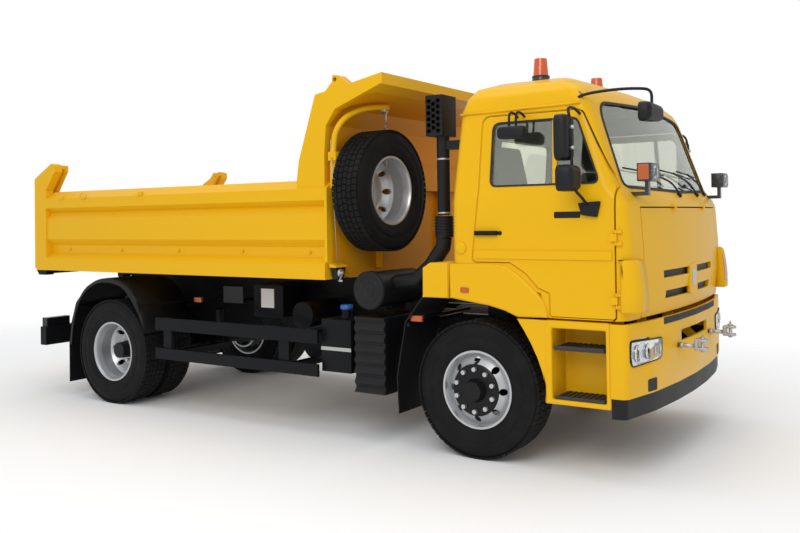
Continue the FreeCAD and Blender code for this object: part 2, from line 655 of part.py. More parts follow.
def chassis_frame():
    parts = both(rail()) + both(box(*SUBFRAME)) + both(pivot_bracket())
    parts += [box(x - CROSS_LONG / 2, x + CROSS_LONG / 2, -RAIL_OUT + RAIL_WEB, RAIL_OUT - RAIL_WEB, *CROSS_Z)
              for x in CROSS_X]
    parts += both(box(*CAB_BRACKET)) + both(box(*BUMPER_STUB)) + both(box(*CAB_REST))
    parts += both(rod("y", *CAB_PIN_Y, *CAB_PIVOT, CAB_PIN_R))
    parts += [box(*FRONT_CROSS), box(*REAR_PLATE)]
    parts += both(box(*HOIST_PLATE))
    parts.append(rod("y", -HOIST_PLATE[3], HOIST_PLATE[3], *HOIST_BASE, PIVOT_R))
    holes = [bore("x", *REAR_PLATE[0:2], y, HITCH_Z + z, HITCH_HOLE_R)
             for y in (-HITCH_HALF_Y, HITCH_HALF_Y) for z in (-HITCH_HALF_Z, HITCH_HALF_Z)]
    return cut(fuse(*parts), *holes)


def power_unit():
    mounts = both(box(*ENGINE_MOUNT)) + both(box(*RADIATOR_FOOT))
    fan = rod("x", FAN[0], FAN[1], FAN[2], FAN[3], FAN[4])
    steps = [rod("x", end, start, 0, GEARBOX_Z, radius)
             for (start, radius), (end, _) in zip(GEARBOX, GEARBOX[1:])]
    shaft = pipe(((GEARBOX[-1][0], 0, GEARBOX_Z), (DIFF_NOSE[1], 0, AXLE_Z)), SHAFT_R)
    shaft = cut(shaft, box(DIFF_NOSE[1] - SHAFT_R - OVER, DIFF_NOSE[1], -SHAFT_R, SHAFT_R,
                           AXLE_Z - SHAFT_R - OVER, AXLE_Z + SHAFT_R + OVER))
    return fuse(box(*ENGINE), fan, box(*FAN_SHROUD), box(*RADIATOR), *steps, shaft, *mounts)


# Bumper, steps, lamps

def bumper_body(shrink, z0, z1, back=BUMPER_BACK):
    """The solid inside the bumper's bowed outline, drawn in by a distance."""
    half = [(x - shrink, y - shrink if y else y) for x, y in BUMPER_BOW]
    corner = max(BUMPER_CORNER_R - shrink, 0)
    right = [(x, -y) for x, y in half]
    points = [(back, right[0][1])] + right + half[-2::-1] + [(back, half[0][1])]
    radii = [0, corner] + [BUMPER_BOW_R] * (len(points) - 4) + [corner, 0]
    return prism("z", z0, z1, points, radii)


def side_pair(axis, start, end, y0, y1, z0, z1, radius):
    """Rounded openings through the front, one each side."""
    right = prism(axis, start, end, ((-y1, z0), (-y0, z0), (-y0, z1), (-y1, z1)), radius)
    return both(right)


def bumper():
    skin = cut(bumper_body(0, *BUMPER_Z),
               bumper_body(BUMPER_WALL, BUMPER_Z[0] - OVER, BUMPER_Z[1] + OVER, BUMPER_BACK - OVER))
    arms = [a.common(bumper_body(BUMPER_WALL / 2, *BUMPER_Z)) for a in both(box(*BUMPER_ARM))]
    front = (BUMPER_BACK, FRONT_END)
    slot = prism("x", *front, ((BUMPER_SLOT[0], BUMPER_SLOT[2]), (BUMPER_SLOT[1], BUMPER_SLOT[2]),
                               (BUMPER_SLOT[1], BUMPER_SLOT[3]), (BUMPER_SLOT[0], BUMPER_SLOT[3])),
                 BUMPER_SLOT[4])
    holes = side_pair("x", *front, *HEADLAMP) + side_pair("x", *front, *FORK_SLOT)
    return cut(fuse(skin, *arms), slot, *holes)


def headlamps():
    glass = cut(bumper_body(HEADLAMP_DEPTH[0], *BUMPER_Z),
                bumper_body(HEADLAMP_DEPTH[1], BUMPER_Z[0] - OVER, BUMPER_Z[1] + OVER, BUMPER_BACK - OVER))
    return [glass.common(hole) for hole in side_pair("x", BUMPER_BACK, FRONT_END, *HEADLAMP)]


def valance():
    near, far, low, high = VALANCE
    return cut(bumper_body(near, low, high),
               bumper_body(far, low - OVER, high + OVER, BUMPER_BACK - OVER))


def skirt():
    body = cut(box(*SKIRT), box(*SKIRT_POCKET))
    return fuse(body, box(*SKIRT_ARM))


def tow_fork():
    cheeks = [box(*c) for c in FORK_CHEEKS]
    back = box(FORK_CHEEKS[0][0], FORK_CHEEKS[0][0] + FORK_BACK, *FORK_CHEEKS[0][2:4],
               FORK_CHEEKS[1][4], FORK_CHEEKS[0][5])
    pin = rod("z", FORK_PIN[3], FORK_PIN[4], FORK_PIN[0], FORK_PIN[1], FORK_PIN[2])
    return fuse(box(*FORK_STEM), back, *cheeks, pin)


def save_front():
    save("bumper", bumper())
    save("valance", valance())
    right = mirrored(skirt())
    save("step_skirts", *both(right))
    save("step_treads", *[t for tread in TREADS for t in both(box(*tread))])
    save("lamps", *headlamps(), *both(box(*TAIL_LAMP)))
    save("tow_forks", *both(tow_fork()))


# Boxes, tanks, guards and mudguards

def side_boxes():
    battery = fuse(box(*BATTERY), box(*BATTERY_ARM))
    hatch = fuse(box(*HATCH_BOX), box(*HATCH_ARM))
    return battery, hatch


def tanks():
    urea = fuse(box(*UREA), box(*UREA_ARM), rod("z", UREA_CAP[3], UREA_CAP[4], *UREA_CAP[:3]))
    x0, x1, y0, y1, z0, z1, radius = FUEL_TANK
    fuel = prism("x", x0, x1, ((y0, z0), (y1, z0), (y1, z1), (y0, z1)), radius)
    fuel = fuse(fuel, *[box(*arm) for arm in FUEL_ARMS])
    air = []
    for x, z, radius in AIR_TANKS:
        half, y0, y1, lift = AIR_TANK_ARM
        air.append(fuse(rod("y", *AIR_TANK_Y, x, z, radius),
                        box(x - half, x + half, y0, y1, max(z - lift, RAIL_Z[0]), max(z, RAIL_Z[0]) + lift)))
    return urea, fuel, *air


def air_filter():
    x, z, radius, y0, y1 = FILTER
    can = fuse(rod("y", y0, y1, x, z, radius), rod("y", FILTER_LID[0], FILTER_LID[1], x, z, FILTER_LID[2]))
    feet = fuse(box(*FILTER_ARM), box(*FILTER_POST))
    run = [(px, INTAKE_Y, pz) for px, pz in ELBOW]
    bend = cut(pipe(run, ELBOW_R), box(run[0][0] - OVER - ELBOW_R, run[0][0] + OVER + ELBOW_R,
                                       INTAKE_Y - ELBOW_R, INTAKE_Y + ELBOW_R, run[0][2], BELLOWS[2]))
    bx, bz, bellows_top, outer, inner = BELLOWS
    bellows = rod("z", bz, bellows_top, bx, INTAKE_Y, outer)
    hollow = rod("z", bz + CLEAR, bellows_top + OVER, bx, INTAKE_Y, inner)
    return cut(fuse(can, feet, bend, bellows), hollow)


def side_guard(rails_x, posts, sign):
    rails = [box(*rails_x, *rail_box[2:]) for rail_box in GUARD_RAILS]
    parts = []
    for x0, x1 in posts:
        parts.append(box(x0, x1, *GUARD_POST_Y, GUARD_RAILS[1][4], GUARD_RAILS[0][5]))
        inner = (x0 + GUARD_INSET, x1 - GUARD_INSET)
        parts.append(box(*inner, GUARD_HANGER_Y[0], GUARD_POST_Y[0], *GUARD_ARM_Z))
        parts.append(box(*inner, *GUARD_HANGER_Y, GUARD_ARM_Z[0], RAIL_Z[0]))
    body = fuse(*rails, *parts)
    return body if sign > 0 else mirrored(body)


def rear_mudguard():
    count = len(MUDGUARD)
    inner = offset_outline(MUDGUARD, MUDGUARD_THICK)
    radii = [0] + [MUDGUARD_R] * (count - 2) + [0]
    shell = prism("y", *MUDGUARD_Y, list(MUDGUARD) + inner[::-1], radii + radii[::-1])
    return fuse(shell, *[box(*arm) for arm in MUDGUARD_ARMS], box(*REAR_FLAP))


def offset_outline(points, depth):
    """The same run of points moved to its right by a distance."""
    moved_points = []
    for i, (u, v) in enumerate(points):
        u0, v0 = points[max(i - 1, 0)]
        u1, v1 = points[min(i + 1, len(points) - 1)]
        run = math.hypot(u1 - u0, v1 - v0)
        moved_points.append((u + depth * (v1 - v0) / run, v - depth * (u1 - u0) / run))
    return moved_points


def front_flap():
    flap = prism("y", *FRONT_FLAP_Y, FRONT_FLAP)
    crown = prism("y", *FENDER_Y, REAR_FENDER)
    return fuse(flap, crown, box(*FRONT_FLAP_ARM))


def underrun():
    arms = both(prism("y", *UNDERRUN_ARM_Y, UNDERRUN_ARM))
    return fuse(box(*UNDERRUN), *arms)


def save_chassis():
    save("chassis_frame", chassis_frame())
    save("power_unit", power_unit())
    save("side_boxes", *side_boxes())
    save("tanks", *tanks())
    save("air_filter", air_filter())
    save("side_guards", side_guard(GUARD_RAILS[0][:2], GUARD_POSTS, -1),
         side_guard(LEFT_GUARD_X, LEFT_GUARD_POSTS, 1))
    save("mudguards", *both(rear_mudguard()), *both(front_flap()))
    save("underrun_bar", underrun())
    x0, x1, y0, y1, z0, z1, radius = SILENCER
    can = prism("x", x0, x1, ((y0, z0), (y1, z0), (y1, z1), (y0, z1)), radius)
    save("silencer", fuse(can, box(*SILENCER_ARM)))


# Cab skin and everything cut from it

def cab_level(z):
    """Front, half width and rear of the cab at a height, between the listed levels."""
    for low, high in zip(CAB_LEVELS, CAB_LEVELS[1:]):
        if z <= high[0]:
            break
    share = (z - low[0]) / (high[0] - low[0])
    return [a + (b - a) * share for a, b in zip(low[1:], high[1:])]


def cab_section(z, grow):
    """The cab's bowed outline at one height, moved outwards by a distance."""
    front, half, rear = cab_level(z)
    front, half, rear = front + grow, half + grow, rear - grow
    corner, back = CAB_FRONT_R + grow, CAB_REAR_R + grow
    bow = CAB_BOW_R + grow
    lean = math.asin((half - corner) / (bow - corner))
    corner_x = front - bow + (bow - corner) * math.cos(lean)
    tip = (front - bow + bow * math.cos(lean), bow * math.sin(lean))
    turn = (lean + math.pi / 2) / 2
    corner_mid = (corner_x + corner * math.cos(turn), half - corner + corner * math.sin(turn))
    back_turn = math.pi / 4
    back_mid = (rear + back - back * math.cos(back_turn), half - back + back * math.sin(back_turn))
    side = [tip, corner_mid, (corner_x, half), (rear + back, half), back_mid, (rear, half - back)]
    left = [V(x, y, z) for x, y in side]
    right = [V(x, -y, z) for x, y in side]
    edges = [Part.Arc(right[0], V(front, 0, z), left[0]).toShape(),
             Part.Arc(left[0], left[1], left[2]).toShape(), Part.makeLine(left[2], left[3]),
             Part.Arc(left[3], left[4], left[5]).toShape(), Part.makeLine(left[5], right[5]),
             Part.Arc(right[5], right[4], right[3]).toShape(), Part.makeLine(right[3], right[2]),
             Part.Arc(right[2], right[1], right[0]).toShape()]
    return Part.Wire(edges)


def cab_body(grow=0, low=CAB_LEVELS[0][0], high=CAB_LEVELS[-1][0]):
    heights = [low] + [level[0] for level in CAB_LEVELS if low < level[0] < high] + [high]
    return Part.makeLoft([cab_section(z, grow) for z in heights], True, True)


def door_prism(gap=0):
    start = DOOR_SPAN[0] - (DOOR_LIP if gap else 0)
    wire = outline(DOOR, DOOR_R, lambda x, z: V(x, start, z))
    if gap:
        wire = wire.makeOffset2D(gap)
    return Part.Face(wire).extrude(V(0, DOOR_SPAN[1] - start, 0))


def cab_cavity():
    inner = cab_body(-CAB_WALL, CAB_FLOOR_TOP, CAB_CEILING)
    x0, x1, half, roof, wall = TUNNEL
    front = box(BULKHEAD[0], FRONT_END, -SILL_Y, SILL_Y, UNDER_FLOOR, SHELF_Z[1])
    tunnel = box(x0, x1 + OVER, -half - wall, half + wall, UNDER_FLOOR, roof + wall)
    arches = box(x0, ARCH_X, -CAB_LEVELS[0][2], CAB_LEVELS[0][2], UNDER_FLOOR, ARCH_FLOOR[1])
    return cut(inner, front, tunnel, arches)


def under_cab():
    """The spaces below the floor: foot wells, arches and the tunnel over the engine."""
    x0, x1, half, roof, _ = TUNNEL
    return [box(ARCH_X, BULKHEAD[0], -SILL_Y, SILL_Y, 0, UNDER_FLOOR),
            box(x0, ARCH_X - CAB_WALL, -SILL_Y, SILL_Y, 0, ARCH_FLOOR[0]),
            box(x0, x1, -half, half, 0, roof),
            *both(prism("y", SILL_Y, CAB_LEVELS[0][2] + OVER, ARCH_CUT))]


def panel_box(gap):
    half, low, high = PANEL
    low = low if gap == 0 else 0
    return box(PANEL_POCKET_X, FRONT_END, -half - gap, half + gap, low, high + gap)


def windscreen_prism():
    return prism("x", WINDSCREEN_BACK, FRONT_END, WINDSCREEN, WINDSCREEN_R)


def rear_window_prism():
    return prism("x", TUNNEL[0], CAB_REAR_R, REAR_WINDOW, REAR_WINDOW_R)


def cab_arm():
    arm = fuse(prism("y", *CAB_ARM_Y, CAB_ARM), rod("y", *CAB_ARM_Y, *CAB_PIVOT, CAB_EYE_R))
    return cut(arm, bore("y", *CAB_ARM_Y, *CAB_PIVOT, CAB_PIN_R + RUN_FIT))


def panel_lugs():
    x, z = PANEL_PIVOT
    lugs = []
    for y0, y1 in PANEL_LUGS:
        lug = box(x - LUG_ROOT, x, y0, y1, z - PANEL_EYE_R, z + PANEL_EYE_R)
        lugs.append(fuse(lug, rod("y", y0, y1, x, z, PANEL_EYE_R)))
    pin = rod("y", PANEL_LUGS[0][0], PANEL_LUGS[1][1], x, z, PANEL_PIN_R)
    return fuse(*lugs, pin)


def door_lugs():
    """Pin and lugs of the left door's hinges, on the pillar."""
    x, y = DOOR_PIVOT
    parts = []
    for z in DOOR_HINGES:
        high = z + DOOR_EYE_LONG
        for z0, z1 in ((z - DOOR_LUG_GAP - DOOR_LUG_LONG, z - DOOR_LUG_GAP),
                       (high + DOOR_LUG_GAP, high + DOOR_LUG_GAP + DOOR_LUG_LONG)):
            parts.append(rod("z", z0, z1, x, y, DOOR_EYE_R))
            parts.append(box(x, x + LUG_ROOT, DOOR_ROOT_Y, y, z0, z1))
        parts.append(rod("z", z - DOOR_LUG_GAP, high + DOOR_LUG_GAP, x, y, DOOR_PIN_R))
    return fuse(*parts)


def door_eyes():
    x, y = DOOR_PIVOT
    eyes = []
    for z in DOOR_HINGES:
        high = z + DOOR_EYE_LONG
        strap = box(DOOR_ROOT_X[0], x, *DOOR_STRAP_Y, z, high)
        root = box(*DOOR_ROOT_X, DOOR_ROOT_Y, DOOR_STRAP_Y[1], z, high)
        eye = fuse(rod("z", z, high, x, y, DOOR_EYE_R), strap, root)
        eyes.append(cut(eye, bore("z", z, high, x, y, DOOR_PIN_R + RUN_FIT)))
    return eyes


def cab_shell(outer):
    body = outer
    for space in (cab_cavity(), *under_cab(), panel_box(PANEL_GAP), windscreen_prism(),
                  rear_window_prism(), *both(door_prism(DOOR_GAP))):
        body = cut(body, space)
    floor_pads = both(box(*REST_PAD))
    return fuse(body, *both(cab_arm()), *both(panel_lugs()), *both(door_lugs()), *floor_pads)


def pane(prism_shape):
    return cut(cab_body(GLASS_DEPTH[0]), cab_body(GLASS_DEPTH[1])).common(prism_shape)


def window_prism(shrink=0):
    wire = outline(DOOR_WINDOW, DOOR_WINDOW_R, lambda x, z: V(x, DOOR_SPAN[0], z))
    if shrink:
        wire = wire.makeOffset2D(-shrink)
    return Part.Face(wire).extrude(V(0, DOOR_SPAN[1] - DOOR_SPAN[0], 0))


def door(outer):
    skin = cut(outer.common(door_prism()), cab_body(-DOOR_WALL), window_prism())
    return fuse(skin, box(*HANDLE), box(*RUB_STRIP), *door_eyes())


def front_panel(outer):
    skin = cut(outer.common(panel_box(0)), cab_body(-PANEL_THICK, 0, PANEL[2] + OVER))
    slots = [prism("x", PANEL_POCKET_X, FRONT_END, ((-half, z0), (half, z0), (half, z1), (-half, z1)))
             for half, z0, z1 in GRILLE_SLOTS]
    x, z = PANEL_PIVOT
    eye = fuse(rod("y", *PANEL_EYES, x, z, PANEL_EYE_R),
               box(x - PANEL_TAB[0], x + PANEL_TAB[0], *PANEL_EYES, z - PANEL_TAB[1], z),
               box(x - PANEL_TAB[2], x, *PANEL_EYES, z - PANEL_TAB[1], z - PANEL_TAB[3]))
    body = fuse(cut(skin, *slots), *both(eye))
    return cut(body, bore("y", -PANEL_EYES[1], PANEL_EYES[1], x, z, PANEL_PIN_R + RUN_FIT))


def grille():
    wide, _, top = GRILLE_SLOTS[0]
    z0 = GRILLE_SLOTS[1][1]
    area = box(PANEL_POCKET_X, FRONT_END, -wide - CAB_WALL, wide + CAB_WALL, z0 - CAB_WALL, top + CAB_WALL)
    mesh = cut(cab_body(-PANEL_THICK, 0), cab_body(-PANEL_THICK - CLEAR, 0))
    return mesh.common(area)


def cab_fenders(shell, outer):
    wing = cut(prism("y", *FENDER_Y, FENDER), shell)
    corner = cut(prism("y", *DEFLECTOR_Y, DEFLECTOR), outer, shell)
    return both(biggest(wing)) + both(biggest(corner))


def biggest(shape):
    return max(shape.Solids, key=lambda solid: solid.Volume)


def dashboard():
    desk = prism("y", -DASHBOARD_Y, DASHBOARD_Y, DASHBOARD, DASHBOARD_R)
    x, y, z = WHEEL_AT
    hoop = Part.makeTorus(WHEEL_R, WHEEL_RIM_R, ORIGIN, AXES["z"])
    spoke = box(-WHEEL_R, WHEEL_R, -WHEEL_RIM_R, WHEEL_RIM_R, -WHEEL_RIM_R / 2, WHEEL_RIM_R / 2)
    column = Part.makeCylinder(COLUMN_R, COLUMN_LONG, V(0, 0, -COLUMN_LONG))
    wheel_set = fuse(hoop, spoke, column)
    wheel_set.rotate(ORIGIN, AXES["y"], -WHEEL_TILT)
    return fuse(desk, moved(wheel_set, x, y, z))


def seat(y):
    x0, x1, half, z0, z1 = SEAT_BASE
    base = box(x0, x1, y - half, y + half, z0, z1)
    cx0, cx1, wide, c0, c1 = SEAT_CUSHION
    cushion = box(cx0, cx1, y - wide, y + wide, c0, c1)
    back = prism("y", y - wide, y + wide, SEAT_BACK, SEAT_BACK_R)
    return fuse(base, cushion, back)


def beacon(y, outer):
    radius, z0, z1 = BEACON_FOOT
    foot = cut(rod("z", z0, z1, BEACON_X, y, radius), outer)
    low, high, d0, d1 = BEACON_DOME
    return fuse(biggest(foot), cone("z", d0, d1, BEACON_X, y, low, high))


def work_lamp(y0, y1, middle, outer):
    x0, x1, z0, z1 = WORK_LAMP_BOX
    fx0, fx1, wide, f0, f1 = WORK_LAMP_FOOT
    px0, px1, _, p0, p1 = WORK_LAMP_POST
    foot = fuse(box(fx0, fx1, middle - wide, middle + wide, f0, f1),
                box(px0, px1, middle - wide, middle + wide, p0, p1), box(x0, x1, y0, y1, z0, z1))
    return biggest(cut(foot, outer))


def snorkel(outer):
    x, z0, z1, radius = SNORKEL_TUBE
    body = fuse(box(*SNORKEL_HEAD), rod("z", z0, z1, x, INTAKE_Y, radius), box(*SNORKEL_BRACKET))
    return biggest(cut(body, outer))


def bar(start, end, thick):
    """A square bar between two points."""
    a, b = V(*start), V(*end)
    piece = Part.makeBox(a.distanceToPoint(b), thick, thick, V(0, -thick / 2, -thick / 2))
    piece.Placement = FreeCAD.Placement(a, FreeCAD.Rotation(AXES["x"], b - a)).multiply(piece.Placement)
    return piece


def wiper(y0, y1, outer):
    front = cab_level(WIPER_Z)[0]
    start, end = [(front - y * y / CAB_BOW_R / 2 + WIPER_R, y, WIPER_Z + lift)
                  for y, lift in ((y0, 0), (y1, WIPER_R))]
    knob = rod("x", start[0] - OVER, start[0] + WIPER_R, y0, WIPER_Z, WIPER_R * 2)
    return biggest(cut(fuse(bar(start, end, WIPER_R), knob), outer))


def door_mirrors(door_shape):
    main = rounded_block(*DOOR_MIRROR)
    wide = rounded_block(*WIDE_MIRROR)
    stem = pipe(MIRROR_STEM, ARM_TUBE_R)
    kerb = fuse(rounded_block(*(KERB_MIRROR[:2] + (-KERB_MIRROR[3], -KERB_MIRROR[2]) + KERB_MIRROR[4:])),
                pipe([(x, -y, z) for x, y, z in KERB_ARM], ARM_TUBE_R))
    pair = biggest(cut(fuse(main, wide, stem), door_shape))
    return pair, biggest(cut(kerb, door_shape))


def rounded_block(x0, x1, y0, y1, z0, z1):
    return prism("x", x0, x1, ((y0, z0), (y1, z0), (y1, z1), (y0, z1)), MIRROR_R)


def front_mirror(outer):
    body = fuse(rounded_block(*FRONT_MIRROR), pipe(FRONT_MIRROR_ARM, ARM_TUBE_R))
    return biggest(cut(body, outer))


def save_cab():
    outer = cab_body()
    shell = cab_shell(outer)
    save("cab_shell", shell)
    panes = [pane(windscreen_prism()), pane(rear_window_prism())]
    save("cab_glass", *panes)
    save("cab_fenders", *cab_fenders(shell, outer))
    save("dashboard", dashboard())
    save("seats", *[seat(y) for y in SEATS])
    lamps = [beacon(y, outer) for y in BEACONS] + [work_lamp(*pair, outer) for pair in WORK_LAMPS]
    save("cab_lamps", *lamps)
    save("snorkel", snorkel(outer))
    save("wipers", *[wiper(*pair, outer) for pair in WIPERS])
    save("front_mirror", front_mirror(outer))
    save("front_panel", front_panel(outer))
    save("grille", grille())
    left = door(outer)
    save("door_left", left)
    save("door_right", mirrored(left))
    glass = pane(window_prism(SKIN_GAP))
    save("door_glass_left", glass)
    save("door_glass_right", mirrored(glass))
    pair, kerb = door_mirrors(left)
    save("mirror_left", pair)
    save("mirror_right", mirrored(pair), mirrored(kerb))


# Tipping body

def tub():
    sides = both(prism("x", *TUB_X, TUB_SIDE))
    inner = TUB_SIDE[0][0]
    parts = sides + [box(*TUB_X, -inner, inner, *TUB_FLOOR_Z)]
    parts += [box(x - TUB_BEAM_LONG / 2, x + TUB_BEAM_LONG / 2, -inner, inner, *TUB_BEAM_Z)
              for x in TUB_BEAMS_X]
    parts += both(box(*TUB_LONG)) + both(box(*EYE_BRACKET))
    parts.append(rod("y", -TUB_LONG[2], TUB_LONG[2], *HOIST_EYE, HOIST_PIN_R))
    for y0, y1 in TUB_EARS_Y:
        parts += both(box(*TUB_EAR[:2], y0, y1, *TUB_EAR[2:]))
        parts += both(rod("y", y0, y1, *TIP_PIVOT, PIVOT_EYE_R))
    parts += both(rod("y", *TUB_PIN_Y, *TIP_PIVOT, PIVOT_R))
    parts += both(prism("y", *POST_Y, POST)) + both(rod("y", *GATE_PIN_Y, *GATE_PIVOT, GATE_PIN_R))
    return fuse(*parts)


def headboard(body):
    plate = prism("x", *HEADBOARD_X, HEADBOARD)
    posts = [box(*HEAD_POST_X, y0, y1, *HEAD_POST_Z) for y0, y1 in HEAD_POSTS]
    cheek = cut(prism("y", *CHEEK_Y, CHEEK), bore("y", *CHEEK_Y, *CHEEK_HOLE))
    top = prism("y", -CHEEK_Y[0], CHEEK_Y[0], CANOPY)
    frame = fuse(plate, *posts, box(*HEAD_BEAM), *both(cheek), top, box(*CANOPY_LIP))
    return biggest(cut(frame, body))


def spare():
    """Tyre and rim of the spare wheel, turned to face forward."""
    y, z = SPARE_AT
    pieces = []
    for piece in (tyre(0), wheel(0, REAR_DISC, 1)):
        piece.rotate(ORIGIN, AXES["z"], -90)
        pieces.append(moved(piece, SPARE_X, y, z))
    return pieces


def davit(body, head):
    foot = box(*DAVIT_FOOT)
    x, y, z0, z1, radius = HOOK
    arm = fuse(pipe(DAVIT, DAVIT_R), foot, rod("z", z0, z1, x, y, radius))
    return biggest(cut(arm, body, head))


def tailgate():
    x0, _, y0, y1 = GATE[:4]
    rib_x, tall = GATE_RIB
    ribs = [box(rib_x, x0, y0, y1, z, z + tall) for z in GATE_RIBS_Z]
    arms = both(prism("y", *GATE_ARM_Y, GATE_ARM))
    body = fuse(box(*GATE), *ribs, *arms)
    return cut(body, *[bore("y", *side, *GATE_PIVOT, GATE_PIN_R + RUN_FIT)
                       for side in (GATE_ARM_Y, (-GATE_ARM_Y[1], -GATE_ARM_Y[0]))])


def save_body():
    body = tub()
    head = headboard(body)
    save("tub", body)
    save("headboard", head)
    spare_tyre, spare_rim = spare()
    save("spare_tyre", spare_tyre)
    save("spare_rim", cut(spare_rim, head))
    save("davit", davit(body, head))
    save("tailgate", tailgate())


# Hoist

def on_hoist(shape):
    """Stand a piece drawn up the z axis on the hoist's own line."""
    run = math.hypot(HOIST_EYE[0] - HOIST_BASE[0], HOIST_EYE[1] - HOIST_BASE[1])
    lean = math.degrees(math.asin((HOIST_EYE[0] - HOIST_BASE[0]) / run))
    shape.rotate(ORIGIN, AXES["y"], lean)
    return moved(shape, HOIST_BASE[0], 0, HOIST_BASE[1])


def sleeve(low, high, outer, inner):
    return cut(rod("z", low, high, 0, 0, outer), bore("z", low, high, 0, 0, inner))


def save_hoist():
    low, high, outer, inner = BARREL
    cup = cut(rod("z", low, high, 0, 0, outer), rod("z", low + BARREL_BASE, high + OVER, 0, 0, inner))
    foot = rod("y", -HOIST_EYE_HALF, HOIST_EYE_HALF, 0, 0, low + CLEAR)
    barrel = fuse(cup, cut(foot, rod("z", low + BARREL_BASE, high, 0, 0, inner)))
    barrel = cut(barrel, bore("y", -HOIST_EYE_HALF, HOIST_EYE_HALF, 0, 0, PIVOT_R + RUN_FIT))
    save("hoist_barrel", on_hoist(barrel))
    save("hoist_stage_1", on_hoist(sleeve(*STAGE_1)))
    save("hoist_stage_2", on_hoist(sleeve(*STAGE_2)))
    low, high, radius = HOIST_ROD
    eye_z = math.hypot(HOIST_EYE[0] - HOIST_BASE[0], HOIST_EYE[1] - HOIST_BASE[1])
    half = HOIST_EYE_HALF
    ends = [rod("y", -half, half, 0, z, HOIST_EYE_OUT) for z in (eye_z, eye_z + HOIST_EYE_SLOT)]
    holes = [bore("y", -half, half, 0, z, HOIST_EYE_BORE) for z in (eye_z, eye_z + HOIST_EYE_SLOT)]
    cheek = box(-HOIST_EYE_OUT, HOIST_EYE_OUT, -half, half, eye_z, eye_z + HOIST_EYE_SLOT)
    slot = box(-HOIST_EYE_BORE, HOIST_EYE_BORE, -half - OVER, half + OVER, eye_z, eye_z + HOIST_EYE_SLOT)
    piston = cut(fuse(rod("z", low, high, 0, 0, radius), *ends, cheek), slot, *holes)
    save("hoist_rod", on_hoist(piston))


os.makedirs("parts", exist_ok=True)
save_wheels()
save_running_gear()
save_chassis()
save_front()
save_cab()
save_body()
save_hoist()
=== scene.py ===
"""The dump truck's looks: paint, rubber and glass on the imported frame, with tread, trim, lamps and fixings."""
import math

import bmesh
import bpy
from mathutils import Matrix, Vector


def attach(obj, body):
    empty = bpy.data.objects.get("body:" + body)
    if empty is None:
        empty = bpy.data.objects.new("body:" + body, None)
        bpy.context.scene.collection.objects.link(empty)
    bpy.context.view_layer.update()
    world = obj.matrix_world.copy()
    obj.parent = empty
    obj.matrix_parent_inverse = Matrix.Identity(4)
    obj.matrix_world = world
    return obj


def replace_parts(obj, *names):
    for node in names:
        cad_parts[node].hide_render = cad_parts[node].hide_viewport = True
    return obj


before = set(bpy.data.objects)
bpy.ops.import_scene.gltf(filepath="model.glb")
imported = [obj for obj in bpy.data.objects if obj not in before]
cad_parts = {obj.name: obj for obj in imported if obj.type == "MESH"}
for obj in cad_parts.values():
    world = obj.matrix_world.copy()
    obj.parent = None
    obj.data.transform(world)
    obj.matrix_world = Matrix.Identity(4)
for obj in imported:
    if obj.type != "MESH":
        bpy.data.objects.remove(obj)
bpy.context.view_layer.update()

AXLE_X = 1.99          # the front axle in the frame; lengths below are metres ahead of this axle
REAR_AXLE = -4.2
TYRE_R = 0.525
SIDES = (("left", 1), ("right", -1))


# Nodes, and shader values that can be added, multiplied and compared

def feed(tree, socket, value):
    """Links a value to a socket, or writes a plain number, name or colour on it."""
    if isinstance(value, Value):
        tree.links.new(value.socket, socket)
    else:
        socket.default_value = (*value, 1) if socket.type == "RGBA" else value


def new_node(tree, kind, values=None, **settings):
    """A node with its settings, then the numbers or links of its sockets."""
    node = tree.nodes.new(kind)
    for key, value in settings.items():
        setattr(node, key, value)
    for key, value in (values or {}).items():
        feed(tree, node.inputs[key], value)
    return node


def made(tree, kind, values=None, output=0, **settings):
    """A new node's output as a value."""
    return Value(tree, new_node(tree, kind, values, **settings).outputs[output])


def operator(name):
    """A Python operator that adds one Math node."""
    return lambda value, other: value.maths(name, other)


class Value:
    """An output socket of a node tree, so that masks read as sums and products."""

    def __init__(self, tree, socket):
        self.tree, self.socket = tree, socket

    def maths(self, operation, *others, clamp=False):
        """One step of arithmetic with other values or numbers."""
        values = dict(enumerate((self, *others)))
        return made(self.tree, "ShaderNodeMath", values, operation=operation, use_clamp=clamp)

    __add__ = __radd__ = operator("ADD")
    __mul__ = __rmul__ = operator("MULTIPLY")
    __sub__, __truediv__ = operator("SUBTRACT"), operator("DIVIDE")
    __gt__, __lt__ = operator("GREATER_THAN"), operator("LESS_THAN")

    def __rsub__(self, other):
        return self * -1.0 + other

    def between(self, low, high):
        """1 where the value lies between two numbers."""
        return (self > low) * (self < high)

    def size(self):
        """The value without its sign."""
        return self.maths("ABSOLUTE")

    def clamp(self):
        """The value kept between 0 and 1."""
        return self.maths("ADD", 0.0, clamp=True)


def length(a, b):
    """The length of a vector from its two parts."""
    return (a * a + b * b).maths("POWER", 0.5)


